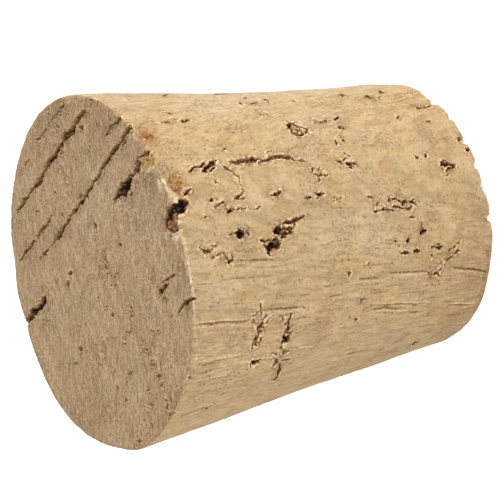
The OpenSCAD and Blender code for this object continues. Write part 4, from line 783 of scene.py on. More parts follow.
def bell(value):
    """1 where a value is zero, and down to nothing on both sides."""
    return np.exp(-(value**2))


def stand_out(angle, swells):
    """How far the outline stands out at these angles."""
    total = 0
    for middle, spread, share in swells:
        off = angle - middle
        total = total + share * bell((off - 360 * np.round(off / 360)) / spread)
    return SWELL * total


def side_r(angle, height):
    """Radius of the plug at these angles and heights."""
    up = height / LENGTH
    narrow = NARROW_R + stand_out(angle, NARROW_SWELLS)
    bulge = sum(
        stand_out(angle, [[turn, spread, share]]) * bell((up - middle) / tall)
        for turn, middle, spread, tall, share in SIDE_SWELLS
    )
    return narrow * (1 - up) + (WIDE_R + stand_out(angle, WIDE_SWELLS)) * up + bulge


def round_at(angle, r):
    """X and Y at these angles and radii."""
    turn = np.radians(angle)
    return np.column_stack([r * np.cos(turn), r * np.sin(turn)])


def wrapped(places):
    """Places round the plug from places on its flat side: millimetres round and up."""
    angle, height = places[:, 0] / ARC, places[:, 1]
    return np.column_stack([round_at(angle, side_r(angle, height)), height])


def at_height(places, height):
    """Flat places of an end, at a height."""
    return np.column_stack([places[:, :2], np.full(len(places), height)])


def rings(space):
    """The same places squeezed so that rough() on them makes layers of growth."""
    return np.column_stack([space @ RING_WAY, space[:, 1] / RING_RUN, space[:, 2] / RING_RUN])


# ---------------------------------------------------------------- marks by rule


def back_pore(seed):
    """A pore on the back, where the channels end as they do in front."""
    angle = between(BACK_ANGLES, pick(seed, 0))
    height = LENGTH * between(MARK_HEIGHTS, pick(seed, 1))
    wide = between(BACK_WIDE, pick(seed, 2) ** 2)
    half = between(BACK_HALF, pick(seed, 3))
    lean = between(BACK_LEAN, pick(seed, 4))
    return [
        [angle - lean, height - half, 0.4 * wide],
        [angle, height, wide],
        [angle + lean, height + half, 0.3 * wide],
    ]


def cross_crack(angles, seed):
    """A crack across the side, where a channel lies along it."""
    angle = between(angles, pick(seed, 0))
    height = LENGTH * between(MARK_HEIGHTS, pick(seed, 1))
    wide = between(CROSS_WIDE, pick(seed, 2))
    half = between(CROSS_HALF, pick(seed, 3))
    return [
        [angle - half, height, TIP],
        [angle - half / 3, height + 0.2, wide],
        [angle + half / 2, height - 0.1, wide / 2],
        [angle + half, height + 0.1, TAIL],
    ]


def narrow_channel(row, seed):
    """A channel along X across the narrow end, seen from below."""
    y = WIDE_R * (2 * (row + pick(seed, 0)) / NARROW_CHANNELS - 1) * CHANNELS_WITHIN
    reach = math.sqrt(WIDE_R**2 - y * y)
    start = reach * between(CHANNEL_START, pick(seed, 1))
    run = between(CHANNEL_RUN, pick(seed, 2))
    wide = between(CHANNEL_WIDE, pick(seed, 3))
    path = [
        [start, y, TIP],
        [start + 0.3 * run, y + 0.2, wide],
        [start + 0.7 * run, y - 0.1, wide / 2],
        [start + run, y, TAIL],
    ]
    share = NARROW_R / WIDE_R
    return [[x * share, -up * share, width] for x, up, width in path]


def deep_and_shallow(deep, shallow):
    """Paths as arrays, each with the depth that no cut along it passes."""
    return [(np.array(p), PORE_DEEPEST) for p in deep] + [(np.array(p), SCAR_DEEPEST) for p in shallow]


def round_side(paths):
    """Paths with their angles in millimetres round the side, and again a whole turn on if that reaches."""
    laid = []
    for path in paths:
        flat = np.array(path) * [ARC, 1, 1]
        for turn in (-360, 0, 360):
            moved = flat + [turn * ARC, 0, 0]
            if moved[:, 0].max() > SEAM * ARC - REACH and moved[:, 0].min() < (SEAM + 360) * ARC + REACH:
                laid.append(moved)
    return laid


HIDDEN_PORES = [back_pore(BACK_SEED + k) for k in range(BACK_PORES)] + [
    cross_crack(angles, CROSS_SEED + 20 * k + i)
    for k, angles in enumerate(CROSS_ANGLES)
    for i in range(CROSS_CRACKS)
]
SIDE_MARKS = deep_and_shallow(round_side(SIDE_PORES + HIDDEN_PORES), round_side(SIDE_SCARS))
WIDE_MARKS = deep_and_shallow([np.array(p) * [1, 1, SAWN_OPEN] for p in WIDE_PORES], WIDE_SCARS)
NARROW_MARKS = deep_and_shallow([narrow_channel(i, CHANNEL_SEED + i) for i in range(NARROW_CHANNELS)], [])
SIDE_LINES = round_side(GROWTH_LINES)

# ---------------------------------------------------------------- places and marks


def along(places, path):
    """For each stretch of a path: the places near it, their way to its middle, and its third value."""
    corner, far = path[:, :2].min(0) - REACH, path[:, :2].max(0) + REACH
    near = np.flatnonzero(np.all((places > corner) & (places < far), axis=1))
    for a, b in zip(path, path[1:]):
        run = (b - a)[:2]
        share = np.clip((places[near] - a[:2]) @ run / (run @ run), 0, 1)
        yield near, a[:2] + share[:, None] * run - places[near], a[2] + (b[2] - a[2]) * share


def survey(places, space, marks):
    """How places lie to the marks: how far inside the nearest edge, half the width there, the way to its
    middle, and the depth of the cut.

    `places` are flat, and `space` holds the same places round the plug, where the edges' strays are drawn.
    """
    inside = np.full(len(places), -REACH)
    half, deep = np.zeros(len(places)), np.zeros(len(places))
    way = np.zeros((len(places), 2))
    places = places + np.column_stack([mixed(space, stray) for stray in EDGE_STRAYS])
    uneven = np.maximum(mixed(space, WIDTH_NOISES, 1), LEAST_WIDTH)
    for path, deepest in marks:
        for near, to_middle, width in along(places, path):
            wide = width / 2
            edge = wide * uneven[near] - np.linalg.norm(to_middle, axis=1)
            floor_depth = deepest * (1 - np.exp(-(CRACK_DEPTH + CHANNEL_DEPTH * width) / deepest))
            wall_end = WALL_LEAST + WALL_SHARE * np.minimum(wide, WALL_FULL)
            deep[near] = np.maximum(deep[near], floor_depth * step(WALL_START, wall_end, edge))
            better = edge > inside[near]
            index = near[better]
            inside[index], half[index], way[index] = edge[better], wide[better], to_middle[better]
    lumps = np.maximum(mixed(space, DEPTH_NOISES, USUAL_DEPTH), LEAST_DEPTH)
    return inside, half, way, deep * lumps


def to_line(places):
    """The way from each place on the flat side to the closest growth line, and the line's height there."""
    way, height = np.full((len(places), 2), REACH), np.zeros(len(places))
    for path in SIDE_LINES:
        for near, to_middle, rise in along(places, path):
            closer = np.linalg.norm(to_middle, axis=1) < np.linalg.norm(way[near], axis=1)
            index = near[closer]
            way[index], height[index] = to_middle[closer], rise[closer]
    return way, height


def line_relief(places):
    """How far growth lines lift each place: a groove has a low ridge on one side, and a ridge a groove."""
    way, height = to_line(places)
    off = np.copysign(np.linalg.norm(way, axis=1), -way[:, 0]) / LINE_HALF
    return height * (bell(off) - RIDGE * bell(off + RIDGE_OFF))


# ---------------------------------------------------------------- the lattice


def lattice(corner, far, spacing_at):
    """Places on a triangular lattice, as close as spacing_at asks, the fine ones among the plain ones."""
    rise = FINE * math.sqrt(3) / 2
    rows = np.arange(math.ceil(corner[1] / rise), math.floor(far[1] / rise) + 1)
    columns = np.arange(math.floor(corner[0] / FINE), math.ceil(far[0] / FINE) + 1)
    column, row = (grid.ravel() for grid in np.meshgrid(columns, rows))
    places = np.column_stack([(column + (row % 2) / 2) * FINE, row * rise])
    across = column - row // 2
    spacing = spacing_at(places)
    keep = np.zeros(len(places), bool)
    for gap in (FINE, CLOSE, PLAIN, FAR):
        every = round(gap / FINE)
        keep |= (across % every == 0) & (row % every == 0) & (spacing < gap + FINE / 2)
    keep &= np.all((places > corner) & (places < far), axis=1)
    return places[keep]


def snapped(places, survey_at):
    """Places with those beside a mark's edge moved onto it, and those by a crack's middle onto that."""
    for _ in range(2):
        inside, half, way, _ = survey_at(places)
        gap = np.maximum(np.linalg.norm(way, axis=1), TINY)
        hairline = (half > 0) & (half < THIN) & (gap < FINE * TO_MIDDLE)
        beside = (half >= THIN) & (np.abs(inside) < FINE * TO_EDGE)
        share = np.where(hairline, 1, np.where(beside, -inside / gap, 0))
        places = places + way * share[:, None]
    return places


def filled(outline, inner):
    """Triangles over an outline and the places inside it: the places and the faces."""
    places = [tuple(p) for p in np.concatenate([outline, inner])]
    rim = list(range(len(outline)))
    inside_only, same = 1, 1e-7
    points, _, faces, _, _, _ = delaunay_2d_cdt(places, [], [rim], inside_only, same)
    return np.array(points), faces


# ---------------------------------------------------------------- the three skins


def on_side(places):
    """The survey of places on the flat side."""
    return survey(places, wrapped(places), SIDE_MARKS)


def on_lines(places):
    """Places on the flat side with those beside a growth line moved onto it, away from marks."""
    way, _ = to_line(places)
    beside = (np.linalg.norm(way, axis=1) < CLOSE / 2) & (on_side(places)[0] < -FINE_REACH)
    return places + way * beside[:, None]


def on_wide(places):
    """The survey of places on the wide end."""
    return survey(places, at_height(places, LENGTH), WIDE_MARKS)


def on_narrow(places):
    """The survey of places on the narrow end."""
    return survey(places, at_height(places, 0), NARROW_MARKS)


def side_spacing(places):
    """How close the lattice of the flat side has to be at these places."""
    inside = on_side(places)[0]
    seen = (places[:, 0] > SEEN[0] * ARC) & (places[:, 0] < SEEN[1] * ARC)
    by_line = np.linalg.norm(to_line(places)[0], axis=1) < 3 * LINE_HALF
    torn = hollow_depth(places, wrapped(places)) > HOLLOW_LEAST
    by_rim = np.minimum(places[:, 1], LENGTH - places[:, 1]) < SIDE_RIM
    gap = np.where(seen, PLAIN, FAR)
    gap = np.where((inside > -CLOSE_REACH) | by_line, CLOSE, gap)
    gap = np.where(seen & ((inside > -FINE_REACH) | torn | (places[:, 1] < FOOT)), FINE, gap)
    gap = np.where(by_rim & seen, np.minimum(gap, CLOSE), gap)
    return np.where(by_rim, np.minimum(gap, PLAIN), gap)


def side_skin():
    """Flat places and triangles of the side, with its outline first."""
    start, end = SEAM * ARC, (SEAM + 360) * ARC
    inner = lattice((start, 0), (end, LENGTH), side_spacing)
    by_end = (inner[:, 1] < FOOT) | (inner[:, 1] > LENGTH - FOOT)
    margin = np.where(by_end, CLOSE, PLAIN) * CLEAR
    off_ends = (inner[:, 1] > margin) & (inner[:, 1] < LENGTH - margin)
    off_seam = (inner[:, 0] > start + PLAIN * CLEAR) & (inner[:, 0] < end - PLAIN * CLEAR)
    inner = on_lines(snapped(inner[off_ends & off_seam], on_side))
    round_count = round(360 * ARC / CLOSE)
    up_count = round(LENGTH / PLAIN)
    across = start + np.arange(round_count + 1) * 360 * ARC / round_count
    up = np.arange(1, up_count) * LENGTH / up_count
    bottom = np.column_stack([across, np.zeros(len(across))])
    top = np.column_stack([across[::-1], np.full(len(across), LENGTH)])
    right = np.column_stack([np.full(len(up), end), up])
    left = np.column_stack([np.full(len(up), start), up[::-1]])
    return filled(np.concatenate([bottom, right, top, left]), inner)


def end_skin(height, survey_at, plain, finest):
    """Flat places and triangles of an end, inside a rim that meets the side's."""
    round_count = round(360 * ARC / CLOSE)
    angle = np.arange(round_count) * 360 / round_count + SEAM
    rim = round_at(angle, side_r(angle, height))
    least_r = np.linalg.norm(rim, axis=1).min()

    def spacing_at(places):
        inside = survey_at(places)[0]
        gap = np.where(inside > -CLOSE_REACH, CLOSE, plain)
        gap = np.where(inside > -FINE_REACH, finest, gap)
        by_rim = np.linalg.norm(places, axis=1) > least_r - END_RIM
        return np.where(by_rim, np.minimum(gap, plain / 2), gap)

    reach = np.abs(rim).max() + FAR
    inner = lattice((-reach, -reach), (reach, reach), spacing_at)
    turn = np.degrees(np.arctan2(inner[:, 1], inner[:, 0]))
    inner = inner[np.linalg.norm(inner, axis=1) < side_r(turn, height) - CLOSE * CLEAR]
    return filled(rim, snapped(inner, survey_at))


# ---------------------------------------------------------------- carving


def plain_relief(space, rim):
    """How far plain cork stands out of the cut: broad swells, layers of growth and grains."""
    swell = mixed(rings(space), LAYER_NOISES, mixed(space, SWELL_NOISES))
    grains = mixed(space, GRAINS) * mixed(space, GRAIN_PATCHES, USUAL_GRAIN)
    return (swell + grains) * step(0, RELIEF_FADE, rim)


def hollow_depth(places, space):
    """Depth of the shallow hollows at places on the flat side."""
    depth = np.zeros(len(places))
    edge = mixed(space, HOLLOW_EDGE)
    uneven = mixed(space, HOLLOW_FLOOR, 1)
    crumbs = mixed(space, HOLLOW_CRUMBS)
    for angle, height, round_mm, up_mm, deep in HOLLOWS:
        off = np.hypot((places[:, 0] - angle * ARC) / round_mm, (places[:, 1] - height) / up_mm)
        depth = np.maximum(depth, (deep * uneven + crumbs) * step(*HOLLOW_FADE, off + edge))
    return depth


def lips(inside, space):
    """How far the torn cork beside a mark stands up: a lip here and there, and crumbs round it."""
    lip = TORN_LIP * bell((inside + TORN_LIP_OUT) / TORN_LIP_HALF)
    patchy = step(*LIP_FADE, mixed(space, LIP_PATCHES))
    return lip * patchy + mixed(space, BESIDE_CRUMBS) * step(*BESIDE_FADE, inside)


def crumbled(angle):
    """Height of the crumbled edge above the narrow end, round the plug."""
    edge = at_height(round_at(angle, NARROW_R), 0)
    by_hand = np.interp(angle, *zip(*NARROW_RIM))
    by_chance = mixed(edge, RIM_NOISES, RIM_HEIGHT)
    known = (angle > NARROW_RIM[0][0]) & (angle < NARROW_RIM[-1][0])
    return mixed(edge, RIM_CRUMBS, np.where(known, by_hand, by_chance) - RIM_DROP)


def rounded(r, up, limit, wear):
    """Places by radius and height with the corner at a limit radius and height zero rounded off."""
    a, b = r - limit + wear, up + wear
    far = np.hypot(a, b)
    corner = (a > 0) & (b > 0) & (far > wear)
    share = np.where(corner, wear / np.maximum(far, TINY), 1)
    return np.where(corner, limit - wear + a * share, r), np.where(corner, -wear + b * share, up)


def where_near(near, places, space, marks):
    """The survey of the places that are near, and nothing for the others."""
    inside, deep = np.full(len(space), -REACH), np.zeros(len(space))
    inside[near], _, _, deep[near] = survey(places[near], space[near], marks)
    return inside, deep


def carve(space, side_at, out, up):
    """Places of the finished skin, how far inside a mark each lies, and how deep it is sunk.

    `side_at` is each place on the flat side, and `out` and `up` are the relief of the side and the ends.
    """
    angle = side_at[:, 0] / ARC
    skin = side_r(angle, side_at[:, 1])
    flat_r, flat_z = np.hypot(*space[:, :2].T), space[:, 2]
    in_side, side_deep = where_near(flat_r > skin - RIM_REACH, side_at, space, SIDE_MARKS)
    in_wide, wide_deep = where_near(
        flat_z > LENGTH - RIM_REACH, space[:, :2], at_height(space, LENGTH), WIDE_MARKS,
    )
    in_narrow, narrow_deep = where_near(flat_z < RIM_REACH, space[:, :2], at_height(space, 0), NARROW_MARKS)

    # Plain cork with its relief, its rounded rims and its hollows
    r = flat_r + out + lips(in_side, space) * (out != 0)
    z = flat_z + up + lips(in_wide, space) * (up > 0)
    uneven = mixed(space, WEAR_NOISES, 1)
    top_r, top_z = rounded(r, z - LENGTH, skin, WIDE_WEAR * uneven)
    r, z = np.where(z > LENGTH / 2, [top_r, top_z + LENGTH], [r, z])
    foot_r, foot_z = rounded(r, -z, skin, NARROW_WEAR * uneven)
    r, z = np.where(z < LENGTH / 2, [foot_r, -foot_z], [r, z])
    r = r - hollow_depth(side_at, space)

    # Its marks, how far they sink it, and the crumbled rim
    cut_r = np.where(side_deep > 0, np.minimum(r, skin - side_deep), r)
    cut_z = np.where(wide_deep > 0, np.minimum(z, LENGTH - wide_deep), z)
    cut_z = np.where(narrow_deep > 0, np.maximum(cut_z, narrow_deep), cut_z)
    sunk = np.hypot(r - cut_r, z - cut_z)
    cut_z = np.maximum(cut_z, crumbled(angle) - (skin - cut_r) / CHIP_BITE)

    past = [skin - cut_r, LENGTH - cut_z, cut_z]
    tinted = [near - np.maximum(way - BEYOND, 0) for near, way in zip((in_side, in_wide, in_narrow), past)]
    return np.column_stack([round_at(angle, cut_r), cut_z]), np.max(tinted, 0), sunk


# ---------------------------------------------------------------- the mesh


def stained(places, space, stains):
    """The tone and strength of stains and painted highlights at flat places, as red, green, blue and
    strength.
    """
    tone = np.zeros((len(places), 4))
    edge = mixed(space, STAIN_AND_HIGHLIGHT_EDGE)
    for x, y, half_x, half_y, name, strength in stains:
        off = np.hypot((places[:, 0] - x) / half_x, (places[:, 1] - y) / half_y)
        share = strength * step(*STAIN_AND_HIGHLIGHT_FADE, off + edge)
        tone = tone * (1 - share[:, None]) + np.outer(share, colour(TONES[name]))
    tone[:, :3] /= np.maximum(tone[:, 3:], TINY)
    return tone


def picture_map(mesh, side_at, space, counts):
    """Lay the skins out side by side in one picture: the side in two halves, and the two ends."""
    corner = np.zeros(len(mesh.loops), int)
    mesh.loops.foreach_get("vertex_index", corner)
    first = corner.reshape(-1, 3)[:, 0]
    side, wide = first < counts[0], (first >= counts[0]) & (first < counts[0] + counts[1])
    picture = np.where((corner < counts[0])[:, None], side_at[corner], space[corner, :2]).reshape(-1, 3, 2)
    half_turn, gap, end_r = 180 * ARC, PICTURE_GAP, WIDE_R + END_ROOM
    late = side & (picture[:, :, 0].mean(1) > SEAM * ARC + half_turn)
    middle = half_turn + 2 * gap + end_r
    picture[side] += [gap - SEAM * ARC, gap]
    picture[late] += [-half_turn, LENGTH + gap]
    picture[wide] += [middle, gap + end_r]
    picture[~side & ~wide] += [middle, 2 * (gap + end_r) + WIDE_R]
    picture /= half_turn + 2 * end_r + 3 * gap
    mesh.uv_layers.new(name="OFBake").data.foreach_set("uv", picture.astype(np.float32).ravel())


def cork_mesh():
    """The whole skin of the plug as one mesh, with its picture map and the masks of its marks."""
    side, side_faces = side_skin()
    wide, wide_faces = end_skin(LENGTH, on_wide, PLAIN, FINE)
    narrow, narrow_faces = end_skin(0, on_narrow, FAR, CLOSE)
    counts = [len(side), len(wide), len(narrow)]
    space = np.concatenate([wrapped(side), at_height(wide, LENGTH), at_height(narrow, 0)])
    on_ends = np.repeat([False, True, True], counts)
    on_top = np.repeat([False, True, False], counts)
    turn = np.degrees(np.arctan2(space[:, 1], space[:, 0]))
    side_at = np.column_stack([np.where(turn < SEAM, turn + 360, turn) * ARC, space[:, 2]])
    side_at[: counts[0]] = side

    off_ends = np.minimum(space[:, 2], LENGTH - space[:, 2])
    relief = plain_relief(space, np.where(on_ends, WIDE_R - np.hypot(*space[:, :2].T), off_ends))
    crease = np.where(on_ends, 0, line_relief(side_at))
    out = np.where(on_ends, 0, relief + crease)
    up = np.where(on_top, relief, 0)
    places, inside, sunk = carve(space, side_at, out, up)

    faces = list(side_faces) + [[counts[0] + i for i in f] for f in wide_faces]
    faces += [[counts[0] + counts[1] + i for i in reversed(f)] for f in narrow_faces]
    mesh = bpy.data.meshes.new("cork_body")
    mesh.from_pydata((places * MM).tolist(), [], faces)
    picture_map(mesh, side_at, space, counts)

    side_tone = stained(side_at / [ARC, 1], space, SIDE_STAINS_AND_HIGHLIGHTS)
    wide_tone = stained(space[:, :2], space, WIDE_STAINS_AND_HIGHLIGHTS)
    tone = np.where(on_ends[:, None], np.where(on_top[:, None], wide_tone, 0), side_tone)
    tint = mesh.attributes.new("tint", "FLOAT_COLOR", "POINT")
    tint.data.foreach_set("color", tone.astype(np.float32).ravel())
    for name, values in {"inside_mm": inside, "sunk_mm": sunk, "crease_mm": crease, "end": on_ends}.items():
        mesh.attributes.new(name, "FLOAT", "POINT").data.foreach_set("value", values.astype(np.float32))

    work = bmesh.new()
    work.from_mesh(mesh)
    bmesh.ops.remove_doubles(work, verts=work.verts, dist=WELD * MM)
    bmesh.ops.dissolve_degenerate(work, edges=work.edges, dist=SLIVER * MM)
    bmesh.ops.triangulate(work, faces=[f for f in work.faces if len(f.verts) > 3])
    work.to_mesh(mesh)
    work.free()
    mesh.shade_smooth()
    mesh.set_sharp_from_angle(angle=math.radians(SHARP))
    return mesh


# ---------------------------------------------------------------- materials

TONES = {
    "umber": "#5e3c1c", "rust": "#905f34", "amber": "#a67e4e", "gold": "#c2984e", "ochre": "#a67c3e",
    "olive": "#8c7648", "slate": "#8a7d62", "ash": "#988a70", "rose": "#af8b70", "pale_and_highlight": "#f4e4c4",
    # pale is paler cork in broad patches, and in small strong spots a painted highlight on the lips of cuts
    # and the wide rim
    "chalk_and_sheen": "#cabda8",
# chalk is a painted sheen on the side, and greyer cork on the wide end
}

# Plain cork of the ground side and of the sawn ends
SIDE_TAN = "#c3a87d"
END_TAN = "#b19775"

# Noises run even, along the rings, along the plug's length, or as the saw ran over the ends. How much
# longer than wide the threads along the rings are
THREAD_RUN = 9
# The saw's way on the ends, from Y in degrees
SAW_TURN = -44
# Detail of the noises that colour cork and of those that raise it
TONE_DETAIL, RELIEF_DETAIL = 2, 3

# Size of the rougher patches of the side and the ends in millimetres, and the share of the noise from which
# one shows and where it is full
PATCHES = {"side": 4.5, "end": 5.0}
PATCH_FADE = (0.5, 0.6)

# What mottles plain cork broadly: where, how it runs, its size in millimetres, the share of the noise from
# which it shows and where it is full, its strength, how it lies on the cork, and its tone
BROAD_COATS = [
    ("side", "even", 7.0, 0.48, 0.7, 0.3, "MIX", "#b29c78"),
    ("side", "even", 5.0, 0.5, 0.7, 0.3, "MIX", "#c2a88a"),
    ("side", "even", 4.0, 0.52, 0.7, 0.3, "MIX", "#c6a264"),
    ("side", "rings", 1.7, 0.48, 0.66, 0.12, "MIX", "#a6865c"),
    ("side", "length", 1.3, 0.52, 0.7, 0.15, "MIX", "#a9865c"),
    ("side", "even", 1.6, 0.52, 0.64, 0.2, "MIX", "#aa8c62"),
    ("side", "even", 1.1, 0.54, 0.66, 0.2, "MIX", "#dcc49c"),
    ("end", "even", 6.0, 0.48, 0.7, 0.35, "MIX", "#a69270"),
    ("end", "even", 4.0, 0.5, 0.7, 0.35, "MIX", "#b38e6a"),
    ("end", "rings", 2.5, 0.5, 0.66, 0.15, "MIX", "#95795c"),
    ("end", "even", 1.0, 0.52, 0.64, 0.35, "MIX", "#8f7858"),
    ("end", "rings", 0.7, 0.52, 0.64, 0.35, "MIX", "#cdb694"),
]

# The same, fine: grains and threads over everything. Cork's cells are 0.04 mm, too fine to show, so its
# grains are drawn several times as wide
FINE_COATS = [
    ("side", "even", 0.26, 0.5, 0.57, 0.28, "MULTIPLY", "#c4b8a6"),
    ("side", "even", 0.22, 0.5, 0.57, 0.35, "SCREEN", "#795e46"),
    ("side", "rings", 0.3, 0.5, 0.56, 0.3, "MULTIPLY", "#c4b8a6"),
    ("side", "rings", 0.26, 0.52, 0.58, 0.35, "SCREEN", "#846850"),
    ("side", "length", 0.4, 0.54, 0.62, 0.35, "MULTIPLY", "#cec2b0"),
    ("side", "length", 0.4, 0.55, 0.62, 0.45, "SCREEN", "#6a5440"),
    ("rough side", "even", 0.3, 0.5, 0.56, 0.5, "MULTIPLY", "#c4b6a2"),
    ("rough side", "even", 0.26, 0.5, 0.56, 0.55, "SCREEN", "#94755a"),
    ("side", "even", 0.5, 0.66, 0.7, 0.6, "MULTIPLY", "#a8845a"),
    ("stained", "even", 0.32, 0.5, 0.57, 0.7, "MULTIPLY", "#b49a7a"),
    ("stained", "even", 0.24, 0.52, 0.58, 0.7, "SCREEN", "#8c6a4a"),
    ("end", "even", 0.26, 0.5, 0.56, 0.55, "MULTIPLY", "#c0b4a2"),
    ("end", "even", 0.22, 0.5, 0.56, 0.6, "SCREEN", "#735c46"),
    ("rough end", "even", 0.4, 0.5, 0.56, 0.6, "MULTIPLY", "#c2b6a2"),
    ("rough end", "even", 0.34, 0.5, 0.56, 0.7, "SCREEN", "#846850"),
    ("end", "saw", 0.3, 0.5, 0.58, 0.45, "MULTIPLY", "#c6baa8"),
    ("end", "saw", 0.26, 0.52, 0.58, 0.5, "SCREEN", "#685642"),
]

# What shows round a cut: a browned skin, crumbs of darker bark and torn pale edges, the pale band partly a
# painted highlight on the lips. Where, how far inside the edge it starts and is full, and then the same
# from its size on
ROUND_CUTS = [
    ("side", -0.5, 0.2, 0.7, 0.35, 0.5, 0.5, "MULTIPLY", "#d8b07c"),
    ("side", -0.9, -0.05, 0.26, 0.55, 0.64, 0.7, "MULTIPLY", "#b88450"),
    # The pale band just outside the edge, here and in the last end row, is partly a painted highlight
    ("side", -0.4, -0.12, 0.4, 0.46, 0.58, 0.7, "MIX", "#eed8b0"),
    ("end", -0.4, 0.1, 0.6, 0.35, 0.5, 0.4, "MULTIPLY", "#d0ac80"),
    ("end", -0.6, -0.05, 0.26, 0.54, 0.62, 0.6, "MULTIPLY", "#b08458"),
    ("end", -0.35, -0.1, 0.4, 0.5, 0.6, 0.4, "MIX", "#d8c29c"),
]
# The same for what hangs in a cut: golden crumbs of torn cork
CRUMBS = [
    ("side", 0.0, 0.12, 0.3, 0.56, 0.63, 0.65, "MIX", "#b48a58"),
    ("end", 0.0, 0.12, 0.3, 0.54, 0.62, 0.6, "MIX", "#a88256"),
]

# The noise that breaks up growth lines and the tones in a cut: its size, the shares of it between which it
# works, and by how much it lessens or raises the height of a line and the depth of a cut
BREAK_SIZE = 0.35
LINE_BREAK = {"From Min": 0.4, "From Max": 0.56, "To Min": 0.3, "To Max": 1.2}
CUT_BREAK = {"From Min": 0.36, "From Max": 0.64, "To Min": 0.25, "To Max": 1.8}
# Growth lines, sunk ones and raised ones: the height in millimetres from which the tone shows and where it
# is full, its strength, and the tone. The dark tone in a groove is painted shade, and the pale one on a
# raised line and on the ridge beside a groove is a painted highlight
LINE_SHADE_AND_HIGHLIGHT = [(-0.015, -0.09, 0.8, "#765430"), (0.01, 0.08, 0.5, "#e8d2a8")]
# Tones of a cut, darker with depth: the brown lining of a pore, then painted shade down to near black where
# it is deep. The depth in millimetres at which each is full, and the tone on the side and on the ends. Each
# starts where the one before is full, and the first at this depth
CUT_TONES_AND_SHADE = [
    (0.05, "#946840", "#98744c"), (0.17, "#603c1f", "#7e5836"), (0.38, "#361d0e", "#583a20"),
    (0.62, "#0f0502", "#221409"),
]
FIRST_DEPTH = 0.02

# Fine relief: how it runs, its size and its height in millimetres
RELIEFS = [
    ("rings", 0.5, 0.06), ("length", 0.5, 0.05), ("even", 0.4, 0.12), ("even", 0.24, 0.08),
    ("saw", 0.4, 0.05),
]
# Its height in smooth cork, and what a rough patch adds
SMOOTH, ROUGHER = 0.55, 0.7
# Torn edges of thin layers: how they run, their size, the share of the noise at which they lie, and their
# height in millimetres. Each rises over a small step of the noise, and they fade out this near an end
LEDGES = [
    ("rings", 1.4, 0.42, 0.07), ("rings", 1.4, 0.5, 0.08), ("rings", 1.4, 0.58, 0.07),
    ("rings", 0.8, 0.46, 0.05), ("rings", 0.8, 0.55, 0.05), ("even", 2.4, 0.42, 0.04),
]
LEDGE_RISE = 0.016
LEDGE_FADE = (0.2, 1.2)
# The thin lip round a cut: its height, and its middle and half width outside the edge
LIP, LIP_MIDDLE, LIP_HALF = 0.07, 0.13, 0.14


def colour(text):
    """A linear colour from an sRGB hex value."""
    parts = [int(text[i : i + 2], 16) / 255 for i in (1, 3, 5)]
    return [p / 12.92 if p <= 0.04045 else ((p + 0.055) / 1.055) ** 2.4 for p in parts] + [1]


def add(tree, kind, inputs=None, **settings):
    """One node in a tree. An input is a value, or the socket of another node that feeds it."""
    node = tree.nodes.new(kind)
    for name, value in settings.items():
        setattr(node, name, value)
    for name, value in (inputs or {}).items():
        if isinstance(value, bpy.types.NodeSocket):
            tree.links.new(value, node.inputs[name])
        else:
            node.inputs[name].default_value = value
    return node


def laid(tree, shade, value, start, full, most, tone, blend="MIX"):
    """Lay a tone over a shade as a value goes from start to full, and there as strongly as `most` says."""
    share = add(
        tree, "ShaderNodeMapRange", {"Value": value, "From Min": start, "From Max": full, "To Max": most},
        interpolation_type="SMOOTHSTEP",
    ).outputs[0]
    mix = add(tree, "ShaderNodeMix", {0: share, 6: shade, 7: tone}, data_type="RGBA", blend_type=blend)
    return mix.outputs[2]


def mottled(tree, shade, way, size, start, full, most, blend, tone):
    """Lay a tone over a shade where a noise over places in millimetres is high."""
    noise = add(tree, "ShaderNodeTexNoise", {"Vector": way, "Scale": 1 / size, "Detail": TONE_DETAIL})
    return laid(tree, shade, noise.outputs["Fac"], start, full, most, colour(tone), blend)


def coated(tree, shade, ways, where, coats):
    """Lay coats over a shade on the cork that each of them names."""
    for spot, way, size, start, full, strength, blend, tone in coats:
        most = add(tree, "ShaderNodeMath", {0: where[spot], 1: strength}, operation="MULTIPLY").outputs[0]
        shade = mottled(tree, shade, ways[way], size, start, full, most, blend, tone)
    return shade


def coated_by_cuts(tree, shade, ways, where, mask, coats):
    """Lay coats over a shade where the cork lies to a cut as each of them says."""
    for spot, reach, edge, size, start, full, strength, blend, tone in coats:
        most = add(tree, "ShaderNodeMath", {0: where[spot], 1: strength}, operation="MULTIPLY").outputs[0]
        near = add(
            tree, "ShaderNodeMapRange",
            {"Value": mask["inside_mm"]["Fac"], "From Min": reach, "From Max": edge, "To Max": most},
            interpolation_type="SMOOTHSTEP",
        ).outputs[0]
        shade = mottled(tree, shade, ways["even"], size, start, full, near, blend, tone)
    return shade


def tinted_and_shaded_down(tree, shade, ways, where, mask):
    """Paint shade and highlight along the growth lines, and darken a shade down into the cuts with brown
    and painted shade.
    """
    torn = add(
        tree, "ShaderNodeTexNoise",
        {"Vector": ways["even"], "Scale": 1 / BREAK_SIZE, "Detail": RELIEF_DETAIL},
    ).outputs["Fac"]
    broken = {}
    for name, limits in {"crease_mm": LINE_BREAK, "sunk_mm": CUT_BREAK}.items():
        uneven = add(tree, "ShaderNodeMapRange", {"Value": torn, **limits}).outputs[0]
        broken[name] = add(
            tree, "ShaderNodeMath", {0: mask[name]["Fac"], 1: uneven}, operation="MULTIPLY",
        ).outputs[0]
    for start, full, strength, tone in LINE_SHADE_AND_HIGHLIGHT:
        shade = laid(tree, shade, broken["crease_mm"], start, full, strength, colour(tone))
    start = FIRST_DEPTH
    for full, side_tone, end_tone in CUT_TONES_AND_SHADE:
        tone = add(
            tree, "ShaderNodeMix", {0: where["end"], 6: colour(side_tone), 7: colour(end_tone)},
            data_type="RGBA",
        ).outputs[2]
        shade = laid(tree, shade, broken["sunk_mm"], start, full, 1.0, tone)
        start = full
    return shade


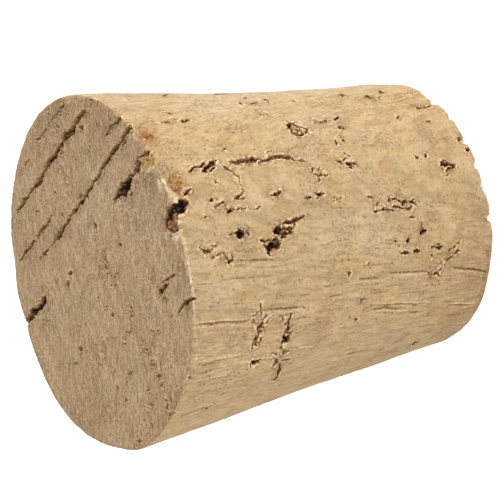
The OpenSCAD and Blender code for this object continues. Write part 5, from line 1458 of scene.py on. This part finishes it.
def ways_over(tree, place):
    """Places in millimetres: even, and drawn out along the rings, the length and the saw's way."""
    stretches = {
        "even": ((0, 0, 0), (1, 1, 1)),
        "rings": ((0, math.atan(-RING_WAY[2]), 0), (1, THREAD_RUN, THREAD_RUN)),
        "length": ((0, 0, 0), (1, 1, RING_RUN)),
        "saw": ((0, 0, math.radians(SAW_TURN)), (1, RING_RUN, 1)),
    }
    ways = {}
    for name, (turn, runs) in stretches.items():
        stretch = {"Vector": place, "Rotation": turn, "Scale": [MM * run for run in runs]}
        ways[name] = add(tree, "ShaderNodeMapping", stretch, vector_type="TEXTURE").outputs[0]
    return ways


def spots(tree, ways, mask):
    """Shares that say where the cork is an end, the side, stained or painted with a highlight, or a rougher
    patch of either.
    """
    end = mask["end"]["Fac"]
    side = add(tree, "ShaderNodeMath", {0: 1.0, 1: end}, operation="SUBTRACT").outputs[0]
    where = {"end": end, "side": side, "stained": mask["tint"]["Alpha"]}
    start, full = PATCH_FADE
    for name, size in PATCHES.items():
        noise = add(
            tree, "ShaderNodeTexNoise", {"Vector": ways["even"], "Scale": 1 / size, "Detail": TONE_DETAIL},
        )
        where["rough " + name] = add(
            tree, "ShaderNodeMapRange",
            {"Value": noise.outputs["Fac"], "From Min": start, "From Max": full, "To Max": where[name]},
            interpolation_type="SMOOTHSTEP",
        ).outputs[0]
    return where


def fine_relief(tree, place, ways, where, mask):
    """Grains and threads, torn layers, and lips round the cuts, all too fine for the mesh to carry."""
    height = 0.0
    for way, size, tall in RELIEFS:
        noise = add(
            tree, "ShaderNodeTexNoise", {"Vector": ways[way], "Scale": 1 / size, "Detail": RELIEF_DETAIL},
        )
        height = add(
            tree, "ShaderNodeMath", {0: noise.outputs["Fac"], 1: tall, 2: height}, operation="MULTIPLY_ADD",
        ).outputs[0]

    up = add(tree, "ShaderNodeSeparateXYZ", {"Vector": place}).outputs["Z"]
    off_ends = add(tree, "ShaderNodeMath", {0: up, 1: LENGTH * MM / 2}, operation="PINGPONG").outputs[0]
    start, full = LEDGE_FADE
    whole = add(
        tree, "ShaderNodeMapRange", {"Value": off_ends, "From Min": MM * start, "From Max": MM * full},
    ).outputs[0]
    for way, size, edge, tall in LEDGES:
        noise = add(
            tree, "ShaderNodeTexNoise", {"Vector": ways[way], "Scale": 1 / size, "Detail": RELIEF_DETAIL},
        )
        rise = {"From Min": edge, "From Max": edge + LEDGE_RISE, "To Max": tall}
        ledge = add(
            tree, "ShaderNodeMapRange", {"Value": noise.outputs["Fac"], **rise},
            interpolation_type="SMOOTHSTEP",
        ).outputs[0]
        height = add(
            tree, "ShaderNodeMath", {0: ledge, 1: whole, 2: height}, operation="MULTIPLY_ADD",
        ).outputs[0]

    off = add(
        tree, "ShaderNodeMath", {0: mask["inside_mm"]["Fac"], 1: LIP_MIDDLE}, operation="ADD",
    ).outputs[0]
    off = add(tree, "ShaderNodeMath", {0: off}, operation="ABSOLUTE").outputs[0]
    lip = add(
        tree, "ShaderNodeMapRange", {"Value": off, "From Max": LIP_HALF, "To Min": LIP, "To Max": 0.0},
        interpolation_type="SMOOTHSTEP",
    ).outputs[0]
    height = add(tree, "ShaderNodeMath", {0: height, 1: lip}, operation="ADD").outputs[0]

    patchy = add(
        tree, "ShaderNodeMath", {0: where["rough side"], 1: where["rough end"]}, operation="ADD",
    ).outputs[0]
    reach = add(
        tree, "ShaderNodeMath", {0: patchy, 1: MM * ROUGHER, 2: MM * SMOOTH}, operation="MULTIPLY_ADD",
    ).outputs[0]
    return add(tree, "ShaderNodeBump", {"Height": height, "Distance": reach}).outputs[0]


def cork_material():
    """Natural bark cork, sawn and ground: matt tan, mottled along its rings, with painted shade to near
    black in its pores.
    """
    material = bpy.data.materials.new("natural_cork_ground")
    material.use_nodes = True
    tree = material.node_tree
    skin = tree.nodes["Principled BSDF"]
    skin.inputs["Roughness"].default_value = 0.9
    skin.inputs["Specular IOR Level"].default_value = 0.25

    place = add(tree, "ShaderNodeTexCoord").outputs["Object"]
    mask = {
        name: add(tree, "ShaderNodeAttribute", attribute_name=name).outputs
        for name in ("inside_mm", "sunk_mm", "crease_mm", "end", "tint")
    }
    ways = ways_over(tree, place)
    where = spots(tree, ways, mask)
    tree.links.new(fine_relief(tree, place, ways, where, mask), skin.inputs["Normal"])

    # Plain cork and its broad mottles, then stains and painted highlights, grains and threads, and the cuts
    # with painted shade
    shade = add(
        tree, "ShaderNodeMix", {0: where["end"], 6: colour(SIDE_TAN), 7: colour(END_TAN)}, data_type="RGBA",
    ).outputs[2]
    shade = coated(tree, shade, ways, where, BROAD_COATS)
    shade = add(
        tree, "ShaderNodeMix", {0: where["stained"], 6: shade, 7: mask["tint"]["Color"]}, data_type="RGBA",
    ).outputs[2]
    shade = coated(tree, shade, ways, where, FINE_COATS)
    shade = coated_by_cuts(tree, shade, ways, where, mask, ROUND_CUTS)
    shade = tinted_and_shaded_down(tree, shade, ways, where, mask)
    shade = coated_by_cuts(tree, shade, ways, where, mask, CRUMBS)
    tree.links.new(shade, skin.inputs["Base Color"])
    return material


# ---------------------------------------------------------------- the piece, the stage and the camera


def cork_body():
    """The plug itself."""
    body = bpy.data.objects.new("cork_body", cork_mesh())
    bpy.context.collection.objects.link(body)
    body.data.materials.append(cork_material())
    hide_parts("stopper")
    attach(body, "root")
    return body


FLOOR_SIZE = 4
FLOOR_GLOW = 0.5


def floor():
    """A sheet of white paper that stays white up to the contact shadow."""
    bpy.ops.mesh.primitive_plane_add(size=FLOOR_SIZE)
    ground = bpy.context.object
    ground.name = "floor"
    material = bpy.data.materials.new("white_paper")
    material.use_nodes = True
    tree = material.node_tree
    paper = tree.nodes["Principled BSDF"]
    paper.inputs["Base Color"].default_value = colour("#ffffff")
    paper.inputs["Roughness"].default_value = 0.9
    paper.inputs["Specular IOR Level"].default_value = 0.0
    paper.inputs["Emission Color"].default_value = colour("#ffffff")
    ray = add(tree, "ShaderNodeLightPath").outputs
    seen = add(tree, "ShaderNodeMath", {0: ray["Is Camera Ray"], 1: ray["Is Glossy Ray"]}, operation="ADD")
    seen = add(tree, "ShaderNodeMath", {0: seen.outputs[0], 1: ray["Is Transmission Ray"]}, operation="ADD")
    glow = add(tree, "ShaderNodeMath", {0: seen.outputs[0], 1: FLOOR_GLOW}, operation="MULTIPLY")
    tree.links.new(glow.outputs[0], paper.inputs["Emission Strength"])
    ground.data.materials.append(material)


# The camera in metres, and the ways from what it looks at to it and up in its view
CAMERA_PLACE = (0.14603, -0.06026, 0.12974)
CAMERA_BACK = (0.7685, -0.3139, 0.5575)
CAMERA_UP = (0.4662, 0.8716, -0.1519)
CAMERA_LENS = 115.2
CAMERA_SENSOR = 36
CAMERA_NEAR, CAMERA_FAR = 0.01, 10


def camera():
    """The camera, rolled on its side so that the plug seems to lie down."""
    back = Vector(CAMERA_BACK).normalized()
    right = Vector(CAMERA_UP).cross(back).normalized()
    up = back.cross(right)
    data = bpy.data.cameras.new("camera")
    data.lens = CAMERA_LENS
    data.sensor_width = CAMERA_SENSOR
    data.clip_start = CAMERA_NEAR
    data.clip_end = CAMERA_FAR
    eye = bpy.data.objects.new("camera", data)
    eye.matrix_world = Matrix.Translation(CAMERA_PLACE) @ Matrix((right, up, back)).transposed().to_4x4()
    bpy.context.collection.objects.link(eye)
    bpy.context.scene.camera = eye


SKY = 0.5
# Each lamp's strength, and where it stands round the plug and above the floor in degrees
LAMPS = {"key": (2.3, 75, 20), "fill": (1.6, -20, 30), "low": (0.45, -110, 10)}
LAMP_SPREAD = 10


def lights():
    """Soft daylight all round, a broad lamp from one side, and two weaker ones that open up the shade."""
    world = bpy.data.worlds.new("studio")
    world.use_nodes = True
    world.node_tree.nodes["Background"].inputs["Color"].default_value = (1, 1, 1, 1)
    world.node_tree.nodes["Background"].inputs["Strength"].default_value = SKY
    bpy.context.scene.world = world
    for name, (strength, azimuth, height) in LAMPS.items():
        lamp = bpy.data.lights.new(name, "SUN")
        lamp.energy = strength
        lamp.angle = math.radians(LAMP_SPREAD)
        turn, lift = math.radians(azimuth), math.radians(height)
        aim = Vector((math.cos(turn) * math.cos(lift), math.sin(turn) * math.cos(lift), math.sin(lift)))
        stand = bpy.data.objects.new(name, lamp)
        stand.rotation_euler = aim.to_track_quat("Z", "Y").to_euler()
        bpy.context.collection.objects.link(stand)


camera()
cork_body()
floor()
lights()
bpy.context.scene.view_settings.view_transform = "Standard"
